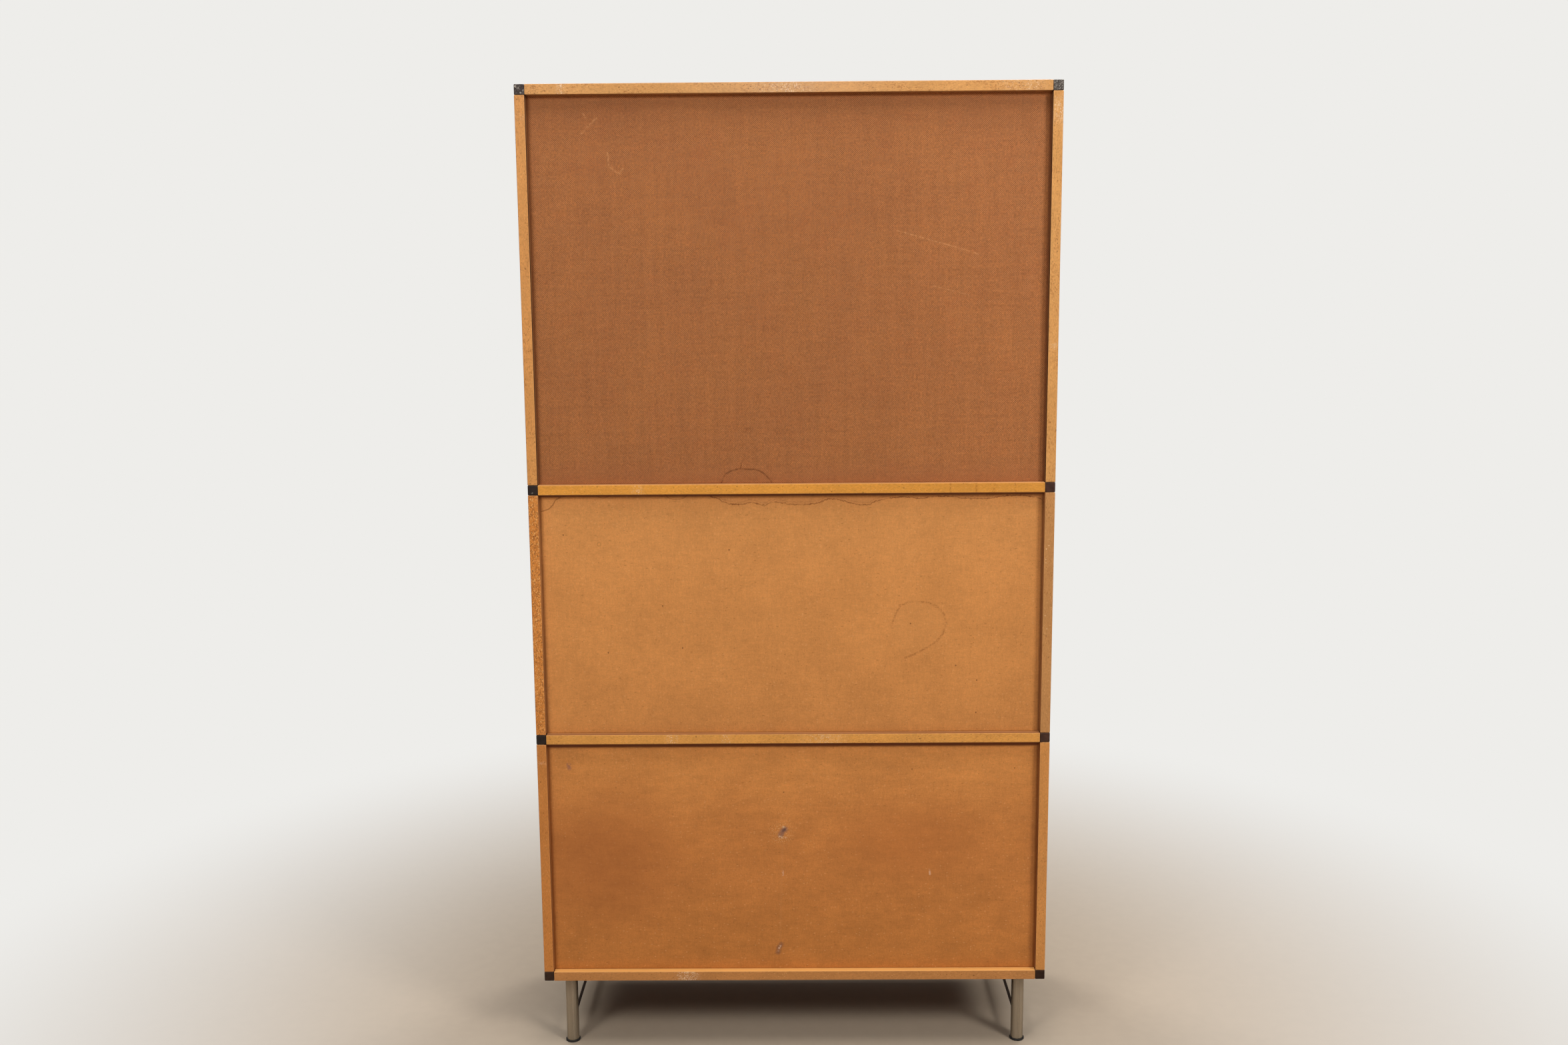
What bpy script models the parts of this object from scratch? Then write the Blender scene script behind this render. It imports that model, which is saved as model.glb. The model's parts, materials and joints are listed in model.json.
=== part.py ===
"""Tall panel cabinet on four tubular legs, made as separate pieces that go together.

Metres, +Z up. The origin lies on the floor under the middle of the cabinet with its knobs.
The front looks along -Y, and the back, with its three recessed sheets, along +Y.
Left and right are those of someone who stands in front of the cabinet.
"""

from math import asin, cos, pi, radians, sin

import bmesh
import bpy
from mathutils import Matrix, Vector

# Carcass, measured between the centre lines of the corner posts
SPAN = 1.060
LOWER_RISE = 0.530
MIDDLE_RISE = 0.530
UPPER_RISE = 0.795
DEPTH = 0.420
BOARD = 0.0205
BOARD_EASE = 0.0012

# Clearances: pieces that touch, and how far a cutter runs past the face it cuts
CONTACT = 0.0003
OVERCUT = 0.0020

# Corner posts with the tongues that key into the boards
POST_EASE = 0.0016
TONGUE = 0.0040
TONGUE_REACH = 0.0080
TONGUE_STOP = 0.0300

# Back sheets, held in grooves
BACK_INSET = 0.0150
BACK_SHEET = 0.0040
BACK_SEAT = 0.0057

# Shelves, hung by steel dowels in their ends from rows of holes in the side boards
SHELF = 0.0180
SHELF_END_GAP = 0.0008
SHELF_RELIEF = 0.0030
SHELF_BACK_GAP = 0.0015
DOWEL_RADIUS = 0.0025
DOWEL_REACH = 0.0090
HOLE_PITCH = 0.0640
HOLE_MARGIN = 0.1100
HOLE_INSET = 0.0450

# Sliding glass and its tracks
GLASS = 0.0060
GLASS_ARRIS = 0.0006
GLASS_RUN = 0.0005
GLASS_OVERLAP = 0.0300
GLASS_END_GAP = 0.0015
GLASS_HEADROOM = 0.0070
TRACK_WALL = 0.0016
TRACK_BASE = 0.0020
TRACK_LOW = 0.0080
TRACK_HIGH = 0.0150
TRACK_SETBACK = 0.0040
PULL_RADIUS = 0.0150
PULL_DEPTH = 0.0018
PULL_INSET = 0.0450
PULL_HEIGHT = 0.3400

# Hinged doors and drawer fronts
FRONT_BOARD = 0.0180
FRONT_EASE = 0.0012
DOOR_GAP = 0.0020

# Butt hinges
HINGE_HEIGHT = 0.0500
HINGE_INSET = 0.0700
HINGE_LEAF = 0.0012
HINGE_WIDTH = 0.0140
HINGE_PLAY = 0.0006
KNUCKLE_RADIUS = 0.0032
HINGE_PIN_RADIUS = 0.0015
HINGE_CAP = 0.0014
HINGE_CAP_RADIUS = 0.0026

# Turned knobs
KNOB_REACH = 0.0220
KNOB_RADIUS = 0.0095
KNOB_HEAD = 0.0100
KNOB_NECK_RADIUS = 0.0042
KNOB_FOOT_RADIUS = 0.0068
KNOB_FOOT = 0.0015
KNOB_STEM_RADIUS = 0.0020
KNOB_STEM = 0.0120
DOOR_KNOB_INSET = 0.0320
DRAWER_KNOB_SPREAD = 0.5300

# Drawers, from the lowest up
DRAWER_NAMES = ("lower_drawer", "upper_drawer")
DRAWER_GAP = 0.0025
DRAWER_WALL = 0.0120
DRAWER_SHEET = 0.0040
DRAWER_SIDE_GAP = 0.0050
DRAWER_TOP_DROP = 0.0220
DRAWER_UNDERCUT = 0.0080
DRAWER_SHEET_RISE = 0.0060
DRAWER_REAR_GAP = 0.0180
DRAWER_SEAT = 0.0060
FINGERS = 7
RUNNER_HEIGHT = 0.0160
RUNNER_SEAT = 0.0056
RUNNER_PLAY = 0.0006

# Legs: welded frames of two tubes, their top plates and a stretcher rod, on pressed-in feet
LEG_HEIGHT = 0.1620
LEG_RADIUS = 0.0135
LEG_WALL = 0.0015
LEG_INSET = 0.0500
PLATE_SIDE = 0.0600
PLATE = 0.0030
PLATE_EASE = 0.0008
FOOT_RADIUS = 0.0160
FOOT_RIM = 0.0040
FOOT_EASE = 0.0010
FOOT_SPIGOT = 0.0100
ROD_RADIUS = 0.0033
ROD_HEIGHT = 0.0420

# Facets round each kind of turned piece
LEG_SIDES = 24
KNOB_SIDES = 12
BARREL_SIDES = 10
DOWEL_SIDES = 8

# Places that follow from the sizes above
inner_half = (SPAN - BOARD) / 2
rear = (DEPTH + KNOB_REACH) / 2
front = rear - DEPTH
back_rear = rear - BACK_INSET
back_front = back_rear - BACK_SHEET
bottom_row = LEG_HEIGHT + BOARD / 2
lower_row = bottom_row + LOWER_RISE
upper_row = lower_row + MIDDLE_RISE
top_row = upper_row + UPPER_RISE
rows = (bottom_row, lower_row, upper_row, top_row)
LOWER, MIDDLE, UPPER = range(3)
SIDES = {"left": -1, "right": 1}

hinge_y = front - KNUCKLE_RADIUS - CONTACT
hinge_x = inner_half - DOOR_GAP / 2
front_inside = front + FRONT_BOARD
channel = GLASS + 2 * GLASS_RUN
track_front = front + TRACK_SETBACK
track_rear = track_front + 3 * TRACK_WALL + 2 * channel
pane_width = (2 * (inner_half - GLASS_END_GAP) + GLASS_OVERLAP) / 2

drawer_outer = inner_half - DRAWER_SIDE_GAP
drawer_inner = drawer_outer - DRAWER_WALL
drawer_rear = back_front - DRAWER_REAR_GAP


def section_floor(section):
    """Upper face of the board under a section."""
    return rows[section] + BOARD / 2


def section_ceiling(section):
    """Lower face of the board over a section."""
    return rows[section + 1] - BOARD / 2


# Materials


def linear(channel_value):
    """One sRGB channel, 0 to 255, as the linear value that a shader takes."""
    share = channel_value / 255
    if share <= 0.04045:
        return share / 12.92
    return ((share + 0.055) / 1.055) ** 2.4


def finish(name, colour, roughness, metallic=0.0, transmission=0.0):
    """A Principled material from an sRGB colour."""
    surface = bpy.data.materials.new(name)
    surface.use_nodes = True
    shader = surface.node_tree.nodes["Principled BSDF"]
    red, green, blue = colour
    shader.inputs["Base Color"].default_value = (linear(red), linear(green), linear(blue), 1.0)
    shader.inputs["Roughness"].default_value = roughness
    shader.inputs["Metallic"].default_value = metallic
    shader.inputs["Transmission Weight"].default_value = transmission
    return surface


def make_finishes():
    """Every finish of the cabinet, by the name of what it covers."""
    return {
        "board": finish("board_veneer", (206, 145, 84), 0.45),
        "post": finish("post_plastic", (52, 44, 40), 0.5),
        "upper_sheet": finish("screen_hardboard", (161, 99, 58), 0.6),
        "sheet": finish("smooth_hardboard", (190, 124, 66), 0.5),
        "front": finish("front_veneer", (150, 92, 52), 0.4),
        "drawer_wood": finish("drawer_beech", (214, 178, 130), 0.55),
        "metal": finish("satin_metal", (128, 110, 92), 0.35, metallic=1.0),
        "nickel": finish("satin_nickel", (190, 186, 178), 0.3, metallic=1.0),
        "track": finish("track_plastic", (72, 60, 50), 0.45),
        "glass": finish("clear_glass", (226, 240, 236), 0.05, transmission=1.0),
        "foot": finish("foot_rubber", (30, 29, 28), 0.7),
    }


# Shape helpers: every shape is drawn in world coordinates


def new_shape():
    """An empty mesh under construction."""
    return bmesh.new()


def block(shape, corner, opposite):
    """Add a closed box between two opposite corners."""
    low = Vector([min(pair) for pair in zip(corner, opposite)])
    high = Vector([max(pair) for pair in zip(corner, opposite)])
    scale = Matrix.Diagonal((*(high - low), 1.0))
    bmesh.ops.create_cube(shape, size=1.0, matrix=Matrix.Translation((low + high) / 2) @ scale)


def prism(shape, outline, push):
    """Add a flat outline of points, extruded along push."""
    base = shape.faces.new([shape.verts.new(point) for point in outline])
    grown = bmesh.ops.extrude_face_region(shape, geom=[base])["geom"]
    moved = [item for item in grown if isinstance(item, bmesh.types.BMVert)]
    bmesh.ops.translate(shape, verts=moved, vec=push)


def turned(shape, profile, sides, base, direction, hollow=False):
    """Add a profile of (radius, height) points, spun about an axis that leaves base along direction."""
    turn = Vector((0, 0, 1)).rotation_difference(Vector(direction)).to_matrix()
    axis = turn @ Vector((0, 0, 1))
    line = [shape.verts.new(Vector(base) + turn @ Vector((radius, 0, height))) for radius, height in profile]
    steps = list(zip(line, line[1:]))
    if hollow:
        steps.append((line[-1], line[0]))
    edges = [shape.edges.new(pair) for pair in steps]
    bmesh.ops.spin(
        shape, geom=line + edges, cent=base, axis=axis, angle=2 * pi, steps=sides, use_merge=True
    )
    rim = [edge for edge in shape.edges if edge.is_boundary]
    bmesh.ops.holes_fill(shape, edges=rim, sides=sides)


def empty(name, place=(0.0, 0.0, 0.0)):
    """An empty that carries the pieces of one body."""
    carrier = bpy.data.objects.new(name, None)
    carrier.location = place
    bpy.context.collection.objects.link(carrier)
    return carrier


def piece(name, shape, surface, origin, carrier):
    """Close a shape into a named object, with its own origin, on the empty that carries it."""
    bmesh.ops.recalc_face_normals(shape, faces=shape.faces)
    bmesh.ops.translate(shape, verts=shape.verts, vec=-Vector(origin))
    mesh = bpy.data.meshes.new(name)
    shape.to_mesh(mesh)
    shape.free()
    item = bpy.data.objects.new(name, mesh)
    bpy.context.collection.objects.link(item)
    item.parent = carrier
    item.location = Vector(origin) - carrier.location
    if surface:
        mesh.materials.append(surface)
    return item


def tool(name, shape, carrier):
    """A shape that only cuts or joins."""
    item = piece(name, shape, None, carrier.location, carrier)
    item.hide_render = True
    item.display_type = "WIRE"
    return item


def combine(item, other, operation):
    """Cut another shape out of an object, or join it on."""
    step = item.modifiers.new(other.name, "BOOLEAN")
    step.operation = operation
    step.solver = "EXACT"
    step.object = other


def cut(item, other):
    """Take another shape out of an object."""
    combine(item, other, "DIFFERENCE")


def join(item, other):
    """Fuse another shape onto an object."""
    combine(item, other, "UNION")


def ease(item, width, segments=2):
    """Round the arrises of an object."""
    step = item.modifiers.new("arris", "BEVEL")
    step.width = width
    step.segments = segments
    step.limit_method = "ANGLE"
    step.angle_limit = radians(40)


def smooth(item):
    """Shade a turned piece round, with its steps left sharp."""
    item.data.shade_smooth()
    item.data.set_sharp_from_angle(angle=radians(40))


def middle(low, high):
    """The point halfway between two corners."""
    return (Vector(low) + Vector(high)) / 2


# Carcass


def tongue_span():
    """Where a post's tongue runs, front to rear."""
    return front + TONGUE_STOP, rear - TONGUE_STOP


def corner_post(name, side, row, finishes, cabinet):
    """A square post with a tongue for every board that meets it."""
    tongue_front, tongue_rear = tongue_span()
    centre = rows[row]
    post = side * SPAN / 2
    inner = side * inner_half
    low = (post - BOARD / 2, front, centre - BOARD / 2)
    high = (post + BOARD / 2, rear, centre + BOARD / 2)
    bar = new_shape()
    block(bar, low, high)
    item = piece(name, bar, finishes["post"], middle(low, high), cabinet)
    ease(item, POST_EASE)
    tongues = new_shape()
    block(
        tongues,
        (inner + side * OVERCUT, tongue_front, centre - TONGUE / 2),
        (inner - side * TONGUE_REACH, tongue_rear, centre + TONGUE / 2),
    )
    for way in neighbours(row):
        face = centre + way * BOARD / 2
        block(
            tongues,
            (post - TONGUE / 2, tongue_front, face - way * OVERCUT),
            (post + TONGUE / 2, tongue_rear, face + way * TONGUE_REACH),
        )
    join(item, tool(name + "_tongues", tongues, cabinet))


def neighbours(row):
    """The ways, down or up, in which a section lies next to a row."""
    ways = []
    if row > 0:
        ways.append(-1)
    if row < len(rows) - 1:
        ways.append(1)
    return ways


def cross_board(name, row, finishes, cabinet):
    """A full-width board: its ends take the posts' tongues, its faces the edges of the back sheets."""
    centre = rows[row]
    half = inner_half - CONTACT
    low = (-half, front, centre - BOARD / 2)
    high = (half, rear, centre + BOARD / 2)
    shape = new_shape()
    block(shape, low, high)
    board = piece(name, shape, finishes["board"], middle(low, high), cabinet)
    ease(board, BOARD_EASE)
    grooves = new_shape()
    tongue_front, tongue_rear = tongue_span()
    loose = TONGUE / 2 + CONTACT
    for side in SIDES.values():
        block(
            grooves,
            (side * SPAN / 2, tongue_front - CONTACT, centre - loose),
            (side * (inner_half - TONGUE_REACH - CONTACT), tongue_rear + CONTACT, centre + loose),
        )
    for way in neighbours(row):
        face = centre + way * BOARD / 2
        block(
            grooves,
            (-SPAN / 2, back_front - CONTACT, face + way * OVERCUT),
            (SPAN / 2, back_rear + CONTACT, face - way * (BACK_SEAT + CONTACT)),
        )
    cut(board, tool(name + "_grooves", grooves, cabinet))
    return board


def side_board(name, side, section, finishes, cabinet):
    """A side board of one section, grooved like the cross boards."""
    low_end = section_floor(section) + CONTACT
    high_end = section_ceiling(section) - CONTACT
    post = side * SPAN / 2
    inner = side * inner_half
    low = (post - BOARD / 2, front, low_end)
    high = (post + BOARD / 2, rear, high_end)
    shape = new_shape()
    block(shape, low, high)
    board = piece(name, shape, finishes["board"], middle(low, high), cabinet)
    ease(board, BOARD_EASE)
    grooves = new_shape()
    tongue_front, tongue_rear = tongue_span()
    for face, way in ((section_floor(section), 1), (section_ceiling(section), -1)):
        block(
            grooves,
            (post - TONGUE / 2 - CONTACT, tongue_front - CONTACT, face - way * OVERCUT),
            (post + TONGUE / 2 + CONTACT, tongue_rear + CONTACT, face + way * (TONGUE_REACH + CONTACT)),
        )
    block(
        grooves,
        (inner - side * OVERCUT, back_front - CONTACT, low_end - OVERCUT),
        (inner + side * (BACK_SEAT + CONTACT), back_rear + CONTACT, high_end + OVERCUT),
    )
    if section in (MIDDLE, UPPER):
        radius = DOWEL_RADIUS + CONTACT
        for height in hole_heights(section):
            for depth in hole_depths(section):
                turned(
                    grooves,
                    [(radius, -OVERCUT), (radius, DOWEL_REACH - SHELF_END_GAP + CONTACT)],
                    DOWEL_SIDES,
                    (inner, depth, height),
                    (side, 0, 0),
                )
    cut(board, tool(name + "_grooves", grooves, cabinet))
    return board


def back_sheet(name, section, surface, cabinet):
    """A thin back sheet in its grooves, notched at the corners to clear the posts."""
    low, high = section_floor(section), section_ceiling(section)
    wide, narrow = inner_half + BACK_SEAT, inner_half - CONTACT
    outline = []
    for across, up in ((1, -1), (1, 1), (-1, 1), (-1, -1)):
        edge = low if up < 0 else high
        corner = [
            (across * wide, edge - up * CONTACT),
            (across * narrow, edge - up * CONTACT),
            (across * narrow, edge + up * BACK_SEAT),
        ]
        if across * up < 0:
            corner.reverse()
        outline += corner
    shape = new_shape()
    prism(shape, [(x, back_front, z) for x, z in outline], (0, BACK_SHEET, 0))
    piece(name, shape, surface, (0, back_front, (low + high) / 2), cabinet)


# Shelves


def hole_heights(section):
    """Heights of the dowel holes in a section, evenly spaced about its middle."""
    low, high = section_floor(section), section_ceiling(section)
    spaces = int((high - low - 2 * HOLE_MARGIN) / HOLE_PITCH)
    first = (low + high - spaces * HOLE_PITCH) / 2
    return [first + step * HOLE_PITCH for step in range(spaces + 1)]


def shelf_front(section):
    """Front edge of a shelf: behind the glass, or where the doors close against it."""
    if section == UPPER:
        return track_rear + SHELF_RELIEF
    return front_inside + CONTACT


def shelf_rear():
    """Rear edge of a shelf."""
    return back_front - SHELF_BACK_GAP


def hole_depths(section):
    """The two places, front and rear, of a shelf's dowels."""
    return shelf_front(section) + HOLE_INSET, shelf_rear() - HOLE_INSET


def shelf_rows():
    """Each shelf with its section and the height of the holes it hangs from."""
    upper = hole_heights(UPPER)
    spare = len(upper) // 4
    centre = hole_heights(MIDDLE)
    return {
        "upper_shelf_low": (UPPER, upper[spare]),
        "upper_shelf_high": (UPPER, upper[-1 - spare]),
        "middle_shelf": (MIDDLE, centre[len(centre) // 2]),
    }


def shelf(name, section, height, finishes, cabinet):
    """A shelf with two steel dowels set in each end."""
    half = inner_half - SHELF_END_GAP
    low = (-half, shelf_front(section), height - SHELF / 2)
    high = (half, shelf_rear(), height + SHELF / 2)
    shape = new_shape()
    block(shape, low, high)
    item = piece(name, shape, finishes["board"], middle(low, high), cabinet)
    ease(item, BOARD_EASE)
    dowels = new_shape()
    profile = [(DOWEL_RADIUS, -OVERCUT), (DOWEL_RADIUS, DOWEL_REACH)]
    for side in SIDES.values():
        for depth in hole_depths(section):
            turned(dowels, profile, DOWEL_SIDES, (side * half, depth, height), (side, 0, 0))
    join(item, tool(name + "_dowels", dowels, cabinet))


# Sliding glass


def track(name, base, way, height, finishes, cabinet):
    """A strip with two channels, its walls standing off the board that base is on."""
    tip = base + way * height
    floor = base + way * TRACK_BASE
    outline = [(track_front, base)]
    edge = track_front
    for _ in range(2):
        outline += [(edge, tip), (edge + TRACK_WALL, tip)]
        edge += TRACK_WALL
        outline += [(edge, floor), (edge + channel, floor)]
        edge += channel
    outline += [(edge, tip), (track_rear, tip), (track_rear, base)]
    start = -inner_half + CONTACT
    shape = new_shape()
    prism(shape, [(start, y, z) for y, z in outline], (-2 * start, 0, 0))
    piece(name, shape, finishes["track"], (0, track_front, base), cabinet)


def finger_pull(pane_front, side):
    """The ground hollow that a finger slides the pane by."""
    ball = (PULL_RADIUS**2 + PULL_DEPTH**2) / (2 * PULL_DEPTH)
    widest = asin(PULL_RADIUS / ball)
    rings = 3
    profile = []
    for step in range(1, rings + 1):
        angle = widest * step / rings
        profile.append((ball * sin(angle), ball * (1 - cos(angle)) - PULL_DEPTH))
    profile.append((profile[-1][0], OVERCUT))
    shape = new_shape()
    place = (side * (inner_half - PULL_INSET), pane_front, section_floor(UPPER) + PULL_HEIGHT)
    turned(shape, profile, KNOB_SIDES, place, (0, -1, 0))
    return shape


def glass_pane(name, side, lane, finishes):
    """One sliding pane: it stands in the bottom track and reaches up into the top one."""
    pane_front = track_front + TRACK_WALL + GLASS_RUN + lane * (channel + TRACK_WALL)
    outer = side * (inner_half - GLASS_END_GAP)
    low_z = section_floor(UPPER) + TRACK_BASE + 2 * CONTACT
    high_z = section_ceiling(UPPER) - TRACK_BASE - CONTACT - GLASS_HEADROOM
    low = (outer, pane_front, low_z)
    high = (outer - side * pane_width, pane_front + GLASS, high_z)
    carrier = empty(name + "_slide", middle(low, high))
    shape = new_shape()
    block(shape, low, high)
    pane = piece(name, shape, finishes["glass"], middle(low, high), carrier)
    ease(pane, GLASS_ARRIS, 1)
    cut(pane, tool(name + "_pull", finger_pull(pane_front, side), carrier))


# Knobs


def knob_profile():
    """Stem, foot disc, neck and a rounded head, from the wood outwards."""
    half_head = KNOB_HEAD / 2
    head_centre = KNOB_REACH - half_head
    profile = [
        (KNOB_STEM_RADIUS, -KNOB_STEM),
        (KNOB_STEM_RADIUS, CONTACT),
        (KNOB_FOOT_RADIUS, CONTACT),
        (KNOB_FOOT_RADIUS, CONTACT + KNOB_FOOT),
        (KNOB_NECK_RADIUS, CONTACT + 2 * KNOB_FOOT),
    ]
    for degrees in (-80, -50, -15, 20, 50, 90):
        angle = radians(degrees)
        bulge = max(cos(angle), 0.0) ** 0.5
        radius = max(KNOB_RADIUS * bulge, KNOB_NECK_RADIUS)
        profile.append((radius, head_centre + half_head * sin(angle)))
    return profile


def knob(name, x, z, finishes, carrier):
    """One knob on the plane of the fronts."""
    shape = new_shape()
    turned(shape, knob_profile(), KNOB_SIDES, (x, front, z), (0, -1, 0))
    smooth(piece(name, shape, finishes["nickel"], (x, front, z), carrier))


def knob_bore(shape, x, z):
    """The blind hole that a knob's stem sits in."""
    radius = KNOB_STEM_RADIUS + CONTACT
    line = [(radius, -KNOB_STEM - CONTACT), (radius, OVERCUT)]
    turned(shape, line, DOWEL_SIDES, (x, front, z), (0, -1, 0))


# Hinged doors


def hinge_heights():
    """Middle heights of a door's two hinges."""
    return {
        "low": section_floor(MIDDLE) + HINGE_INSET,
        "high": section_ceiling(MIDDLE) - HINGE_INSET,
    }


def mortises(shape, side, onto_door):
    """Seats for the hinge leaves, in the side board or in the door's edge."""
    way = -side if onto_door else side
    surface = side * hinge_x + way * DOOR_GAP / 2
    deepest = side * hinge_x + way * (HINGE_PLAY / 2 + HINGE_LEAF + CONTACT)
    half = HINGE_HEIGHT / 2 + CONTACT
    for height in hinge_heights().values():
        block(
            shape,
            (surface - way * DOOR_GAP / 2, front - OVERCUT, height - half),
            (deepest, front + HINGE_WIDTH + CONTACT, height + half),
        )


def knuckle_height():
    """Length of each of a hinge's three knuckles, with a gap between neighbours."""
    return (HINGE_HEIGHT - 2 * CONTACT) / 3


def frame_half(name, side, height, finishes, cabinet):
    """The fixed half of a hinge: leaf, outer knuckles and the capped pin pressed into them."""
    x = side * (hinge_x + HINGE_PLAY / 2)
    half = HINGE_HEIGHT / 2
    tall = knuckle_height()
    tab_tip = hinge_y + (HINGE_PIN_RADIUS + KNUCKLE_RADIUS) / 2
    edge = front + HINGE_WIDTH
    outline = [
        (edge, half),
        (edge, -half),
        (tab_tip, -half),
        (tab_tip, tall - half),
        (front, tall - half),
        (front, half - tall),
        (tab_tip, half - tall),
        (tab_tip, half),
    ]
    plate = new_shape()
    prism(plate, [(x, y, height + z) for y, z in outline], (side * HINGE_LEAF, 0, 0))
    item = piece(name, plate, finishes["nickel"], (side * hinge_x, hinge_y, height), cabinet)
    lower_half = [
        (HINGE_PIN_RADIUS, -half - HINGE_CAP),
        (HINGE_CAP_RADIUS, -half - HINGE_CAP / 2),
        (HINGE_CAP_RADIUS, -half),
        (KNUCKLE_RADIUS, -half),
        (KNUCKLE_RADIUS, tall - half),
        (HINGE_PIN_RADIUS, tall - half),
    ]
    profile = lower_half + [(radius, -z) for radius, z in reversed(lower_half)]
    barrel = new_shape()
    turned(barrel, profile, BARREL_SIDES, (side * hinge_x, hinge_y, height), (0, 0, 1))
    join(item, tool(name + "_barrel", barrel, cabinet))


def door_half(name, side, height, finishes, axis):
    """The moving half of a hinge: leaf and middle knuckle, bored for the pin."""
    x = side * (hinge_x - HINGE_PLAY / 2)
    half = HINGE_HEIGHT / 2
    reach = knuckle_height() / 2
    bore = HINGE_PIN_RADIUS + CONTACT
    tab_tip = hinge_y + (bore + KNUCKLE_RADIUS) / 2
    edge = front + HINGE_WIDTH
    outline = [
        (edge, half),
        (edge, -half),
        (front, -half),
        (front, -reach),
        (tab_tip, -reach),
        (tab_tip, reach),
        (front, reach),
        (front, half),
    ]
    plate = new_shape()
    prism(plate, [(x, y, height + z) for y, z in outline], (-side * HINGE_LEAF, 0, 0))
    item = piece(name, plate, finishes["nickel"], (side * hinge_x, hinge_y, height), axis)
    ring = [(KNUCKLE_RADIUS, -reach), (KNUCKLE_RADIUS, reach), (bore, reach), (bore, -reach)]
    barrel = new_shape()
    turned(barrel, ring, BARREL_SIDES, (side * hinge_x, hinge_y, height), (0, 0, 1), hollow=True)
    join(item, tool(name + "_barrel", barrel, axis))


def door(hand, side, finishes, cabinet):
    """An inset door with its knob, turning on two butt hinges."""
    low = (side * (inner_half - DOOR_GAP), front, section_floor(MIDDLE) + DOOR_GAP)
    high = (side * DOOR_GAP / 2, front_inside, section_ceiling(MIDDLE) - DOOR_GAP)
    axis = empty("door_" + hand + "_axis", (side * hinge_x, hinge_y, low[2]))
    shape = new_shape()
    block(shape, low, high)
    panel = piece("door_" + hand, shape, finishes["front"], middle(low, high), axis)
    ease(panel, FRONT_EASE)
    knob_x = side * (DOOR_GAP / 2 + DOOR_KNOB_INSET)
    knob_z = middle(low, high).z
    seats = new_shape()
    mortises(seats, side, True)
    knob_bore(seats, knob_x, knob_z)
    cut(panel, tool("door_" + hand + "_seats", seats, axis))
    knob("door_knob_" + hand, knob_x, knob_z, finishes, axis)
    for level, height in hinge_heights().items():
        name = "hinge_" + hand + "_" + level
        frame_half(name + "_frame_half", side, height, finishes, cabinet)
        door_half(name + "_door_half", side, height, finishes, axis)


# Drawers


class DrawerLevels:
    """Heights of one drawer, counted from the lowest."""

    def __init__(self, number):
        floor, ceiling = section_floor(LOWER), section_ceiling(LOWER)
        count = len(DRAWER_NAMES)
        tall = (ceiling - floor - (count + 1) * DRAWER_GAP) / count
        self.front_low = floor + DRAWER_GAP + number * (tall + DRAWER_GAP)
        self.front_high = self.front_low + tall
        self.side_low = self.front_low + DRAWER_UNDERCUT
        self.side_high = self.front_high - DRAWER_TOP_DROP
        self.sheet_low = self.side_low + DRAWER_SHEET_RISE
        self.sheet_high = self.sheet_low + DRAWER_SHEET
        self.back_low = self.sheet_high + CONTACT
        self.runner = (self.back_low + self.side_high) / 2


def finger_line(levels, out, notch, first_is_out):
    """Points up one edge of a finger joint, from the back's foot to the top."""
    tall = (levels.side_high - levels.back_low) / FINGERS
    points = []
    for number in range(FINGERS):
        low = levels.back_low + number * tall
        high = low + tall
        is_out = (number % 2 == 0) == first_is_out
        slack = CONTACT / 2 if is_out else -CONTACT / 2
        edge = out if is_out else notch
        points.append((edge, low + (slack if number > 0 else 0.0)))
        points.append((edge, high - (slack if number < FINGERS - 1 else 0.0)))
    return points


def runner_grooves(levels):
    """The grooves outside a drawer that ride on its runners, open to the rear."""
    shape = new_shape()
    for side in SIDES.values():
        block(
            shape,
            (
                side * (drawer_outer + OVERCUT),
                front_inside - OVERCUT,
                levels.runner - RUNNER_HEIGHT / 2 - RUNNER_PLAY,
            ),
            (
                side * (drawer_outer - RUNNER_SEAT - RUNNER_PLAY),
                drawer_rear + OVERCUT,
                levels.runner + RUNNER_HEIGHT / 2 + CONTACT,
            ),
        )
    return shape


def drawer_front(name, levels, finishes, carrier):
    """The drawer's front board, with seats for its walls, its bottom and its knob stems."""
    half = inner_half - DRAWER_GAP
    low = (-half, front, levels.front_low)
    high = (half, front_inside, levels.front_high)
    shape = new_shape()
    block(shape, low, high)
    board = piece(name + "_front", shape, finishes["front"], middle(low, high), carrier)
    ease(board, FRONT_EASE)
    seat = front_inside - DRAWER_SEAT - CONTACT
    walls = new_shape()
    height = middle(low, high).z
    for side in SIDES.values():
        block(
            walls,
            (side * (drawer_inner - CONTACT), seat, levels.side_low - CONTACT),
            (side * (drawer_outer + CONTACT), front_inside + OVERCUT, levels.side_high + CONTACT),
        )
        knob_bore(walls, side * DRAWER_KNOB_SPREAD / 2, height)
    cut(board, tool(name + "_wall_seats", walls, carrier))
    groove = new_shape()
    block(
        groove,
        (-drawer_inner - CONTACT, seat, levels.sheet_low - CONTACT),
        (drawer_inner + CONTACT, front_inside + OVERCUT, levels.sheet_high + CONTACT),
    )
    cut(board, tool(name + "_sheet_groove", groove, carrier))
    for hand, side in SIDES.items():
        knob(name + "_knob_" + hand, side * DRAWER_KNOB_SPREAD / 2, height, finishes, carrier)


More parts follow.
